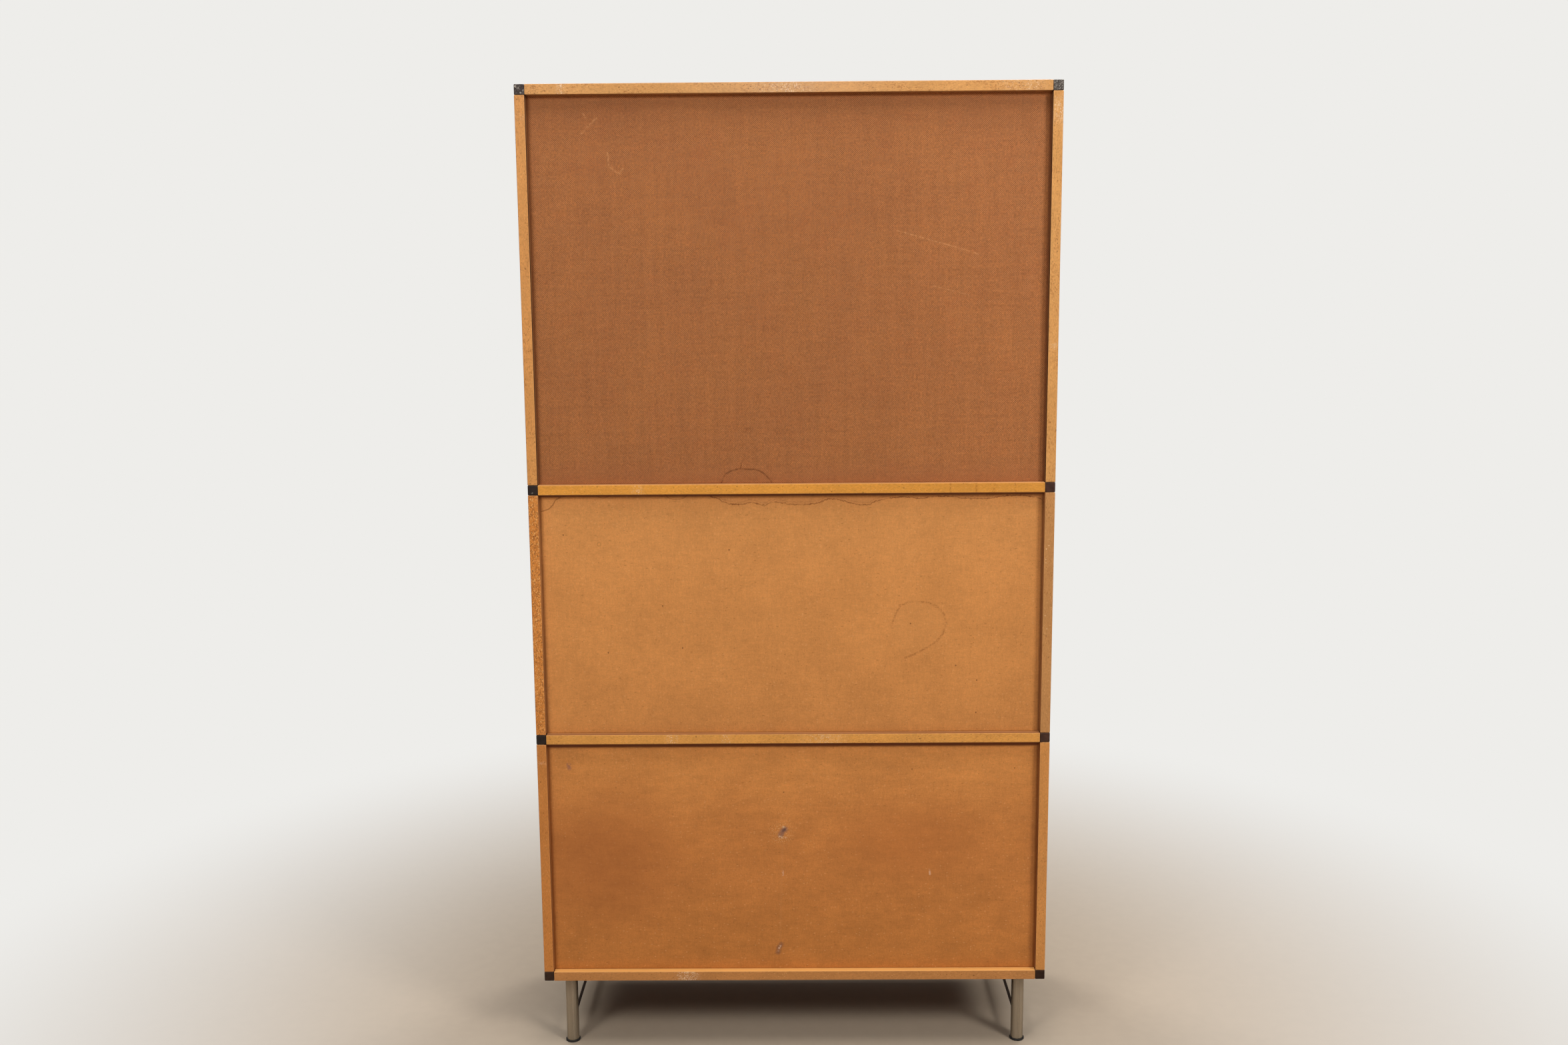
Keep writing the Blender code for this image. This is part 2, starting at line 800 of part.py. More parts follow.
def drawer_side(name, side, levels, finishes, carrier):
    """One side: grooved outside for its runner and inside for the bottom, fingered at the rear."""
    front_end = front_inside - DRAWER_SEAT
    outline = [(front_end, levels.side_high), (front_end, levels.side_low), (drawer_rear, levels.side_low)]
    outline += finger_line(levels, drawer_rear, drawer_rear - DRAWER_WALL - CONTACT, True)
    wall = new_shape()
    prism(wall, [(side * drawer_inner, y, z) for y, z in outline], (side * DRAWER_WALL, 0, 0))
    origin = (side * drawer_inner, front_end, levels.side_low)
    item = piece(name, wall, finishes["drawer_wood"], origin, carrier)
    grooves = runner_grooves(levels)
    block(
        grooves,
        (side * (drawer_inner - OVERCUT), front_end - OVERCUT, levels.sheet_low - CONTACT),
        (side * (drawer_inner + DRAWER_SEAT + CONTACT), drawer_rear + OVERCUT, levels.sheet_high + CONTACT),
    )
    cut(item, tool(name + "_grooves", grooves, carrier))


def drawer_back(name, levels, finishes, carrier):
    """The back, over the bottom sheet, with fingers that mesh with those of the sides."""
    right = finger_line(levels, drawer_outer, drawer_inner - CONTACT, False)
    left = [(-x, z) for x, z in reversed(right)]
    shape = new_shape()
    prism(shape, [(x, drawer_rear, z) for x, z in right + left], (0, -DRAWER_WALL, 0))
    origin = (0, drawer_rear, levels.back_low)
    item = piece(name, shape, finishes["drawer_wood"], origin, carrier)
    cut(item, tool(name + "_grooves", runner_grooves(levels), carrier))


def drawer_bottom(name, levels, finishes, carrier):
    """The thin bottom, slid in from the rear under the back."""
    half = drawer_inner + DRAWER_SEAT
    low = (-half, front_inside - DRAWER_SEAT, levels.sheet_low)
    high = (half, drawer_rear, levels.sheet_high)
    shape = new_shape()
    block(shape, low, high)
    piece(name, shape, finishes["sheet"], middle(low, high), carrier)


def drawers(finishes):
    """Every drawer on its own slide."""
    for number, name in enumerate(DRAWER_NAMES):
        levels = DrawerLevels(number)
        carrier = empty(name + "_slide", (0, front, levels.runner))
        drawer_front(name, levels, finishes, carrier)
        for hand, side in SIDES.items():
            drawer_side(name + "_side_" + hand, side, levels, finishes, carrier)
        drawer_back(name + "_back", levels, finishes, carrier)
        drawer_bottom(name + "_bottom", levels, finishes, carrier)


def runners(shape, side):
    """The wooden runners of every drawer, let into a side board. The fronts close against their ends."""
    for number in range(len(DRAWER_NAMES)):
        height = DrawerLevels(number).runner
        block(
            shape,
            (side * (inner_half + OVERCUT), front_inside + CONTACT, height - RUNNER_HEIGHT / 2),
            (side * (drawer_outer - RUNNER_SEAT), drawer_rear, height + RUNNER_HEIGHT / 2),
        )


# Legs


def leg_frame(name, side, finishes, cabinet):
    """A front and a rear tube, welded under their screw plates and tied by a stretcher rod."""
    x = side * (SPAN / 2 + BOARD / 2 - LEG_INSET)
    ends = (front + LEG_INSET, rear - LEG_INSET)
    base = FOOT_RIM + CONTACT
    plate_top = LEG_HEIGHT - CONTACT
    tall = plate_top - PLATE / 2 - base
    bore = LEG_RADIUS - LEG_WALL
    wall = [(LEG_RADIUS, 0.0), (LEG_RADIUS, tall), (bore, tall), (bore, 0.0)]
    tubes = new_shape()
    plates = new_shape()
    half = PLATE_SIDE / 2
    for y in ends:
        turned(tubes, wall, LEG_SIDES, (x, y, base), (0, 0, 1), hollow=True)
        block(plates, (x - half, y - half, plate_top - PLATE), (x + half, y + half, plate_top))
    item = piece(name, tubes, finishes["metal"], (x, sum(ends) / 2, base), cabinet)
    smooth(item)
    plate_tool = tool(name + "_plates", plates, cabinet)
    ease(plate_tool, PLATE_EASE, 1)
    join(item, plate_tool)
    weld = LEG_RADIUS - LEG_WALL * 2 / 3
    rod = new_shape()
    length = ends[1] - ends[0] - 2 * weld
    line = [(ROD_RADIUS, 0.0), (ROD_RADIUS, length)]
    turned(rod, line, BARREL_SIDES, (x, ends[0] + weld, ROD_HEIGHT), (0, 1, 0))
    join(item, tool(name + "_stretcher", rod, cabinet))


def leg_foot(name, x, y, finishes, cabinet):
    """A foot with a rim under its tube and a spigot pressed up into it."""
    plug = LEG_RADIUS - LEG_WALL - CONTACT
    profile = [
        (FOOT_RADIUS - FOOT_EASE, 0.0),
        (FOOT_RADIUS, FOOT_EASE),
        (FOOT_RADIUS, FOOT_RIM - FOOT_EASE),
        (FOOT_RADIUS - FOOT_EASE, FOOT_RIM),
        (plug, FOOT_RIM),
        (plug, FOOT_RIM + FOOT_SPIGOT),
    ]
    shape = new_shape()
    turned(shape, profile, LEG_SIDES, (x, y, 0.0), (0, 0, 1))
    smooth(piece(name, shape, finishes["foot"], (x, y, 0.0), cabinet))


def legs(finishes, cabinet):
    """The two welded frames and their four feet."""
    for hand, side in SIDES.items():
        leg_frame("leg_frame_" + hand, side, finishes, cabinet)
        x = side * (SPAN / 2 + BOARD / 2 - LEG_INSET)
        leg_foot("foot_front_" + hand, x, front + LEG_INSET, finishes, cabinet)
        leg_foot("foot_rear_" + hand, x, rear - LEG_INSET, finishes, cabinet)


# The whole cabinet


def build():
    """Clear the scene and make every piece."""
    for item in list(bpy.data.objects):
        bpy.data.objects.remove(item, do_unlink=True)
    finishes = make_finishes()
    cabinet = empty("cabinet")

    for label, row in (("bottom", 0), ("lower", 1), ("upper", 2), ("top", 3)):
        for hand, side in SIDES.items():
            corner_post("corner_post_" + label + "_" + hand, side, row, finishes, cabinet)
    cross_board("bottom_panel", 0, finishes, cabinet)
    cross_board("lower_divider", 1, finishes, cabinet)
    cross_board("upper_divider", 2, finishes, cabinet)
    cross_board("top_panel", 3, finishes, cabinet)

    for label, section in (("lower", LOWER), ("middle", MIDDLE), ("upper", UPPER)):
        for hand, side in SIDES.items():
            name = label + "_side_" + hand
            board = side_board(name, side, section, finishes, cabinet)
            if section == MIDDLE:
                seats = new_shape()
                mortises(seats, side, False)
                cut(board, tool(name + "_hinge_seats", seats, cabinet))
            if section == LOWER:
                cleats = new_shape()
                runners(cleats, side)
                join(board, tool(name + "_runners", cleats, cabinet))
    back_sheet("lower_back", LOWER, finishes["sheet"], cabinet)
    back_sheet("middle_back", MIDDLE, finishes["sheet"], cabinet)
    back_sheet("upper_back", UPPER, finishes["upper_sheet"], cabinet)
    for name, (section, height) in shelf_rows().items():
        shelf(name, section, height, finishes, cabinet)

    track("glass_track_bottom", section_floor(UPPER) + CONTACT, 1, TRACK_LOW, finishes, cabinet)
    track("glass_track_top", section_ceiling(UPPER) - CONTACT, -1, TRACK_HIGH, finishes, cabinet)
    for lane, (hand, side) in enumerate(SIDES.items()):
        glass_pane("glass_" + hand, side, lane, finishes)

    for hand, side in SIDES.items():
        door(hand, side, finishes, cabinet)
    drawers(finishes)
    legs(finishes, cabinet)


build()
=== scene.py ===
import json
from math import asin, cos, pi, radians, sin

import bmesh
import bpy
from mathutils import Matrix, Vector


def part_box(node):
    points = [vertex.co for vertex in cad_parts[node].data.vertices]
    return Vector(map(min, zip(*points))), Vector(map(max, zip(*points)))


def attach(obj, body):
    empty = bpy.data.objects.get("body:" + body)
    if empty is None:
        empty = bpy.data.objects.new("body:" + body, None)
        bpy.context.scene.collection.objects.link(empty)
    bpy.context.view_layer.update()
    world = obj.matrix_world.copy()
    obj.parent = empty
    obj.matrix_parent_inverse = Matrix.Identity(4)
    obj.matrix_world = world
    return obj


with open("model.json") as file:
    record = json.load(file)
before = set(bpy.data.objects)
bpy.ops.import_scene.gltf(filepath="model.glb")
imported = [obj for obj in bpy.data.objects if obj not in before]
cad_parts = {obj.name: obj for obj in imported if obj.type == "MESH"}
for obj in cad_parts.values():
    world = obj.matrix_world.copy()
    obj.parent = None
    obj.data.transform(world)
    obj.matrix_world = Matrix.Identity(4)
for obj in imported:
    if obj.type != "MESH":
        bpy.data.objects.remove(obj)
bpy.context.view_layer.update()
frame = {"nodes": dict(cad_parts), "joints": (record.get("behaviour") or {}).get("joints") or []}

NODES = frame["nodes"]

# The camera of the photograph: its picture in pixels, its focal length in the same pixels, its turns
# in degrees and its place in metres.
PICTURE_WIDE = 2352
FOCAL = 2104.45
SENSOR = 36.0
YAW = 0.3835
PITCH = -8.6178
ROLL = 0.3592
EYE = (-0.007, 3.0708, 1.5945)

# The back's openings, in metres: half their width, and the floor and ceiling of each.
HALF_OPENING = 0.51975
UPPER = (1.2425, 2.017)
MIDDLE = (0.7125, 1.222)
LOWER = (0.1825, 0.692)

# Sockets of a Mix node that mixes colours: share, first and second, and its result. And how far a seed
# of one shifts a pattern, in metres.
MIX_INPUTS = (0, 6, 7)
MIX_RESULT = 2
SEED_SHIFT = (3.7, 1.9, 5.3)

# Tints as they show on a screen, from 0 to 255.
BACKDROP = (238, 237, 234)
FLOOR = (166, 150, 131)
VENEER = (206, 146, 88)

# The upper sheet: the pitch of its weave, the heights between which it darkens, and the strip just under the
# top panel where painted light lifts the shade line.
WEAVE_PITCH = 0.0037
TOP_DARKENS = (1.9, 2.02)
TOP_PAINTED_LIGHT = (2.005, 2.016)
FOOT_DARKENS = (1.30, 1.245)

# Dried lines on the sheets, as (x, z): a ring above the upper divider, the tide line under it, which
# fades out over TIDE_FADE before TIDE_END, and a ring on the middle sheet.
UPPER_RING = (
    (0.1435, 1.2435), (0.1367, 1.2596), (0.1273, 1.2664), (0.1156, 1.2710), (0.1040, 1.2727),
    (0.0910, 1.2714), (0.0759, 1.2716), (0.0643, 1.2683), (0.0527, 1.2604), (0.0412, 1.2471),
    (0.0395, 1.2430),
)
TIDE = (
    (-0.5181, 1.1998), (-0.4928, 1.2119), (-0.4498, 1.2140), (-0.4212, 1.2105), (-0.3890, 1.2078),
    (-0.3496, 1.2092), (-0.3351, 1.2129), (-0.2885, 1.2132), (-0.2707, 1.2086), (-0.2419, 1.2117),
    (-0.1917, 1.2076), (-0.1666, 1.2005), (-0.1541, 1.1959), (-0.1344, 1.1978), (-0.0985, 1.2072),
    (-0.0805, 1.2091), (-0.0661, 1.2048), (-0.0158, 1.1979), (0.0193, 1.2017), (0.0405, 1.2028),
    (0.0546, 1.1972), (0.0860, 1.2031), (0.1000, 1.1986), (0.1351, 1.2025), (0.1490, 1.2106),
    (0.1699, 1.2160),
)
TIDE_END = 0.172
TIDE_FADE = 0.007
MIDDLE_RING = (
    (-0.2072, 0.9394), (-0.2156, 0.9650), (-0.2266, 0.9848), (-0.2474, 0.9917), (-0.2668, 0.9923),
    (-0.2862, 0.9887), (-0.3058, 0.9793), (-0.3170, 0.9644), (-0.3220, 0.9459), (-0.3160, 0.9246),
    (-0.3022, 0.9075), (-0.2815, 0.8933), (-0.2606, 0.8820),
)

# The boards: where runs of varnish cross the upper divider's edge (x), where the edge of the left
# middle board has flaked (z), the plane of the sheets' back faces (y), the cabinet's top (z), and the
# painted shade on the inner faces from that plane on, or painted light on the bottom panel's ledge: tint and
# share.
DRIPS = (-0.3257, -0.3791, -0.4153, -0.4591)
FLAKED = ((1.05, 1.15), (0.92, 0.98))
RECESS = 0.2056
TOP_EDGE = 2.0375
PAINTED_RECESS_SHADE_AND_LIGHT = {
    "upper_side": ((50, 17, 5), 0.92),
    "middle_side": ((88, 36, 4), 0.55),
    "lower_side": ((106, 48, 8), 0.8),
    "top_panel": ((112, 52, 22), 0.38),
    "lower_divider": ((128, 82, 52), 0.8),
    "bottom_panel": ((230, 170, 94), 0.85),
}

# Spots of bare metal on the posts: (x, z) and radius.
NICKS = {
    "corner_post_upper_right": (((0.5310, 1.2269), 0.0022),),
    "corner_post_top_right": (
        ((0.5366, 2.0334), 0.0038), ((0.5316, 2.0297), 0.0034),
        ((0.5220, 2.0254), 0.0022), ((0.5271, 2.0207), 0.0022),
    ),
}

# The legs: the shade under the cabinet starts and ends at these heights; the rod's middle, half its
# length and its upper side.
LEG_SHADE = 0.105
LEG_TOP = 0.158
ROD_MIDDLE = 0.011
ROD_HALF = 0.1466
ROD_TOP = 0.046
EDGE_BLUR = 0.0002

# Screws: the steps of half a head, its slot's share of the radius, its profile from outside to inside as
# shares of radius and height, and the turn in radians of the first screw and from each to the next.
ARC_STEPS = 10
SLOT_SHARE = 0.26
HEAD_PROFILE = ((1.0, 0.02), (1.0, 0.3), (0.93, 0.72), (0.72, 0.94), (0.4, 1.0))
FIRST_TURN = 0.5
NEXT_TURN = 1.9

# A hinge leaf's width and play and its screws' places up it; half a leg plate's width, its thickness and
# its screws' places from the middle; and the radius and height of each head.
LEAF_WIDE = 0.014
LEAF_PLAY = 0.0003
LEAF_SCREWS = (-0.0165, 0.0, 0.0165)
PLATE_HALF = 0.030
PLATE_THICK = 0.003
PLATE_SCREW = 0.0205
LEAF_HEAD = (0.0024, 0.00014)
PLATE_HEAD = (0.0036, 0.0014)

# The studio: how bright the sky is, where its sides and front dim in the gloss, the floor's radius and
# sides and where it runs out. Each lamp has an azimuth, elevation, distance, side and power.
AMBIENT = 0.75
SKY_DARK = 0.5
SKY_CLEAR = 1.0
SIDES_CLEAR = 0.25
SIDES_DIM = 0.85
SIDES_LEFT = 0.12
FRONT_CLEAR = -0.15
FRONT_DIM = -0.75
FRONT_LEFT = 0.5
FLOOR_RADIUS = 40.0
FLOOR_SIDES = 96
FLOOR_CLEAR = 0.5
FLOOR_GONE = 2.3
SKY_TINT = (0.97, 0.985, 1.0, 1.0)
LAMP_TINT = (1.0, 0.985, 0.96)
LIGHT_AIM = 1.1
LAMPS = {
    "back_left": (34, 27, 5.0, 1.1, 66),
    "back_right": (-44, 28, 5.0, 1.1, 122),
    "above": (-10, 72, 4.5, 1.6, 95),
    "front_left": (144, 50, 5.0, 1.5, 105),
    "front_right": (-144, 50, 5.0, 1.5, 105),
}


def tint(red, green, blue, scale=1.0):
    """A colour given as it shows on a screen, from 0 to 255, as the linear one that shaders take."""
    linear = []
    for part in (red, green, blue):
        share = min(255.0, part * scale) / 255
        linear.append(share / 12.92 if share <= 0.04045 else ((share + 0.055) / 1.055) ** 2.4)
    return (*linear, 1.0)


class Finish:
    """A procedural material. Each method adds nodes and returns an output, or sets the shader."""

    def __init__(self, name, metallic=0.0, gloss=0.5):
        self.material = bpy.data.materials.new(name)
        self.material.use_nodes = True
        self.tree = self.material.node_tree
        self.shader = self.tree.nodes["Principled BSDF"]
        self.shader.inputs["Metallic"].default_value = metallic
        self.shader.inputs["Specular IOR Level"].default_value = gloss
        texture = self.tree.nodes.new("ShaderNodeTexCoord")
        self.place = texture.outputs["Object"]
        self.x, self.y, self.z = self.add("SeparateXYZ", self.place).outputs
        self.face = self.add("SeparateXYZ", texture.outputs["Normal"]).outputs

    def add(self, kind, *values, **settings):
        """A node of that kind, with values for its first sockets."""
        node = self.tree.nodes.new("ShaderNode" + kind)
        for key, setting in settings.items():
            setattr(node, key, setting)
        for socket, value in zip(node.inputs, values):
            self.feed(socket, value)
        return node

    def feed(self, socket, value):
        """Links an output to the socket or sets its value; None leaves it as it is."""
        if isinstance(value, bpy.types.NodeSocket):
            self.tree.links.new(value, socket)
        elif value is not None:
            if socket.type == "VECTOR":
                value = value[:3]
            socket.default_value = value

    def math(self, kind, *values):
        return self.add("Math", *values, operation=kind).outputs[0]

    def vector(self, kind, *values):
        return self.add("VectorMath", *values, operation=kind)

    def product(self, first, *others):
        for other in others:
            first = self.math("MULTIPLY", first, other)
        return first

    def step(self, value, start, end, low=0.0, high=1.0):
        """A soft step from low, at start, to high, at end."""
        return self.add(
            "MapRange", value, start, end, low, high, interpolation_type="SMOOTHSTEP"
        ).outputs[0]

    def spread(self, stretch, seed):
        """The place on the object, stretched and shifted by the seed."""
        shift = tuple(seed * reach for reach in SEED_SHIFT)
        return self.add("Mapping", self.place, shift, None, stretch).outputs[0]

    def noise(self, size, stretch=(1, 1, 1), detail=2.0, seed=0.0, rough=0.5, warp=0.0):
        """Clouds from 0 to 1, with features of about that size in metres."""
        node = self.add("TexNoise", self.spread(stretch, seed))
        node.inputs["Scale"].default_value = 1 / size
        node.inputs["Detail"].default_value = detail
        node.inputs["Roughness"].default_value = rough
        node.inputs["Distortion"].default_value = warp
        return node.outputs[0]

    def cells(self, size, stretch, seed):
        """Distance from the middle of each cell, in cells, and a random number for the cell."""
        node = self.add("TexVoronoi", self.spread(stretch, seed))
        node.inputs["Scale"].default_value = 1 / size
        red = self.add("SeparateColor", node.outputs["Color"]).outputs[0]
        return node.outputs["Distance"], red

    def specks(self, size, share, seed, fill, stretch=(1, 1, 1)):
        """Specks in that share of the cells; fill is how far each reaches, in cells."""
        distance, random = self.cells(size, stretch, seed)
        return self.product(self.step(distance, fill, fill * 0.5), self.math("LESS_THAN", random, share))

    def rear(self):
        """One on faces that look to the back."""
        return self.step(self.face[1], 0.3, 0.7)

    def mix(self, share, first, second):
        """The first colour where share is 0, the second where it is 1."""
        node = self.tree.nodes.new("ShaderNodeMix")
        node.data_type = "RGBA"
        for number, value in zip(MIX_INPUTS, (share, first, second)):
            self.feed(node.inputs[number], value)
        return node.outputs[MIX_RESULT]

    def lay(self, base, colour, *shares):
        """The colour laid over base by the product of shares."""
        return self.mix(self.product(*shares), base, colour)

    def light(self, share, colour, dark, bright):
        """The colour, scaled between dark and bright by share."""
        scale = self.math("ADD", self.product(share, bright - dark), dark)
        return self.vector("SCALE", colour, None, None, scale).outputs[0]

    def curve(self, along, points):
        """A value drawn through points over along; both run over small ranges, in metres."""
        low = min(point[1] for point in points)
        reach = max(point[1] for point in points) - low
        start = points[0][0]
        span = points[-1][0] - start
        node = self.add("FloatCurve", 1.0)
        line = node.mapping.curves[0]
        for number, (place, height) in enumerate(points):
            spot = ((place - start) / span, (height - low) / reach)
            if number in (0, len(points) - 1):
                line.points[0 if number == 0 else -1].location = spot
            else:
                line.points.new(*spot)
        node.mapping.update()
        self.feed(node.inputs["Value"], self.add("MapRange", along, start, start + span, 0.0, 1.0).outputs[0])
        return self.math("ADD", self.product(node.outputs[0], reach), low)

    def near(self, value, target, width):
        """One where value is at target, falling to nothing at width from it."""
        away = self.math("ABSOLUTE", self.math("SUBTRACT", value, target))
        return self.step(away, width, 0.0)

    def stroke(self, start, end, width):
        """A soft line from start to end, as (x, z) on a sheet that faces the back."""
        first = Vector((start[0], 0.0, start[1]))
        run = Vector((end[0], 0.0, end[1])) - first
        flat = self.vector("MULTIPLY", self.place, (1.0, 0.0, 1.0)).outputs[0]
        reach = self.vector("SUBTRACT", flat, first).outputs[0]
        share = self.vector("DOT_PRODUCT", reach, run / run.length_squared).outputs[1]
        held = self.add("Clamp", share, 0.0, 1.0).outputs[0]
        foot = self.vector("SCALE", run, None, None, held).outputs[0]
        away = self.vector("DISTANCE", reach, foot).outputs[1]
        return self.step(away, width, width * 0.2)

    def trail(self, points, width):
        """A soft line through points."""
        return self.most(*(self.stroke(start, end, width) for start, end in zip(points, points[1:])))

    def spot(self, centre, radius, inner, flat=1.0):
        """A soft spot at (x, z) on a sheet that faces the back; flat below 1 makes it wider than tall."""
        middle = Vector((centre[0], 0.0, centre[1] / flat))
        level = self.vector("MULTIPLY", self.place, (1.0, 0.0, 1.0 / flat)).outputs[0]
        away = self.vector("DISTANCE", level, middle).outputs[1]
        return self.step(away, radius, radius * inner)

    def away(self, height, centre, flat):
        """Distance from (x, z) on a sheet, with its height already made uneven."""
        across = self.math("SUBTRACT", self.x, centre[0])
        up = self.math("DIVIDE", self.math("SUBTRACT", height, centre[1]), flat)
        return self.math("SQRT", self.math("ADD", self.product(across, across), self.product(up, up)))

    def most(self, *masks):
        """The largest of the masks."""
        top = masks[0]
        for mask in masks[1:]:
            top = self.math("MAXIMUM", top, mask)
        return top

    def paint(self, colour, roughness, height=None, depth=None, strength=None):
        """Feeds the shader. Height is a bump of that depth in metres and that strength."""
        self.feed(self.shader.inputs["Base Color"], colour)
        self.feed(self.shader.inputs["Roughness"], roughness)
        if height is not None:
            bump = self.tree.nodes.new("ShaderNodeBump")
            bump.inputs["Distance"].default_value = depth
            bump.inputs["Strength"].default_value = strength
            self.feed(bump.inputs["Height"], height)
            self.feed(self.shader.inputs["Normal"], bump.outputs[0])
        return self.material


def lengthwise(along, share):
    """A stretch that draws a pattern out along one axis."""
    return tuple(share if axis == along else 1 for axis in "xyz")


def dress(material, *names):
    """Gives the material to the named nodes."""
    for name in names:
        slots = NODES[name].data.materials
        slots.clear()
        slots.append(material)


# Sheets of the back


def joint_dirt_and_shade(skin, base, opening, dirt_and_shade, hidden=0.0, shade=None):
    """Dirt and painted shade where a sheet meets the boards; hidden is how much the board above covers.

    Shade is where the painted shade under the board above starts and ends, below that board, and its share.
    """
    across = skin.math("ABSOLUTE", skin.x)
    loose = skin.product(skin.noise(0.03, detail=2.0, seed=21), 0.0016)
    side = skin.step(skin.math("ADD", across, loose), HALF_OPENING - 0.0060, HALF_OPENING)
    foot = skin.step(skin.math("SUBTRACT", skin.z, loose), opening[0] + 0.0012, opening[0])
    parts = [(side, 0.7), (foot, 0.5)]
    if shade:
        start, end, share = shade
        top = opening[1] - hidden
        parts.append((skin.step(skin.math("ADD", skin.z, loose), top - start, top - end), share))
    edge = skin.most(*(skin.product(part, level) for part, level in parts))
    return skin.mix(edge, base, dirt_and_shade)


def screen_sheet():
    """Hardboard with its woven screen side out, stained reddish brown."""
    skin = Finish("back_screen", gloss=0.25)
    rear = skin.rear()
    turn = 2 * pi / WEAVE_PITCH
    wave = skin.product(
        skin.math("SINE", skin.product(skin.x, turn)),
        skin.math("SINE", skin.product(skin.z, turn)),
    )
    weave = skin.step(wave, -0.45, 0.45)
    fibre = skin.noise(0.0016, detail=2.0)
    grit = skin.noise(0.0042, detail=3.0, rough=0.6, seed=5)
    upright = skin.noise(0.011, (1, 1, 0.08), 3.0, 1, 0.6)
    level = skin.noise(0.007, (0.10, 1, 1), 3.0, 2, 0.6)
    cloud = skin.noise(0.16, detail=2.0, seed=3)
    base = skin.mix(skin.step(cloud, 0.3, 0.7), tint(150, 89, 46), tint(156, 94, 48))
    base = skin.mix(skin.step(skin.noise(0.05, seed=4), 0.5, 0.75, high=0.35), base, tint(150, 84, 43))
    base = skin.light(skin.step(skin.math("ADD", upright, level), 0.7, 1.3), base, 0.89, 1.10)
    base = skin.light(skin.step(grit, 0.25, 0.75), base, 0.74, 1.29)
    base = skin.light(skin.step(fibre, 0.2, 0.8), base, 0.66, 1.36)
    held = skin.step(skin.noise(0.009, seed=22), 0.25, 0.75, 0.3, 0.62)
    base = skin.lay(base, tint(98, 50, 18), skin.step(wave, 0.0, -0.5), held)
    base = skin.lay(base, tint(206, 146, 94), skin.step(wave, 0.0, 0.5), held)
    # Lighter towards -x, the side the strongest lamp stands on: painted light.
    base = skin.light(skin.step(skin.x, -0.10, -0.45), base, 1.0, 1.08)
    base = skin.lay(base, tint(132, 78, 42), skin.step(skin.z, *TOP_DARKENS), 0.34)
    base = skin.lay(base, tint(150, 92, 56), skin.step(skin.z, *FOOT_DARKENS), 0.35)
    scuffs = skin.most(
        skin.stroke((0.3815, 1.9729), (0.4118, 1.9431), 0.0030),
        skin.stroke((0.4073, 1.981), (0.4015, 1.9745), 0.0034),
        skin.trail(((0.3608, 1.9056), (0.3581, 1.8786), (0.3376, 1.8649), (0.3304, 1.8752)), 0.0030),
        skin.trail(((-0.2157, 1.7501), (-0.3316, 1.7173), (-0.379, 1.7026)), 0.0020),
        skin.stroke((-0.29, 1.64), (-0.36, 1.622), 0.0016),
    )
    rub = skin.step(skin.noise(0.005, seed=6), 0.35, 0.65)
    base = skin.lay(base, tint(206, 144, 92), scuffs, rub, 0.52)
    ring = skin.most(
        skin.trail(UPPER_RING, 0.0026),
        skin.stroke((0.1040, 1.2727), (0.0990, 1.2920), 0.0018),
    )
    faded = skin.step(skin.noise(0.022, seed=24), 0.35, 0.6, 0.45, 1.0)
    worn = skin.product(skin.step(skin.noise(0.004, seed=7), 0.3, 0.6, 0.25, 1.0), faded)
    drop = skin.near(skin.away(skin.z, (0.0863, 1.3508), 1.0), 0.0052, 0.0022)
    marks = skin.most(ring, skin.product(drop, 0.6))
    base = skin.lay(base, tint(90, 44, 8), marks, worn, 0.72)
    # Dirt and painted shade along the sheet's sides and foot.
    base = joint_dirt_and_shade(skin, base, UPPER, tint(92, 44, 16))
    # Painted light in the strip just under the top panel, lifting the shadow there.
    base = skin.light(skin.step(skin.z, *TOP_PAINTED_LIGHT), base, 1.0, 1.50)
    inside = skin.light(skin.step(fibre, 0.2, 0.8), tint(164, 106, 62), 0.90, 1.10)
    inside = skin.light(skin.step(cloud, 0.3, 0.7), inside, 0.95, 1.05)
    base = skin.mix(rear, inside, base)
    grain = skin.math("ADD", skin.product(weave, rear, 0.5), fibre)
    return skin.paint(base, skin.step(fibre, 0.2, 0.8, 0.5, 0.68), grain, 0.0004, 0.5)


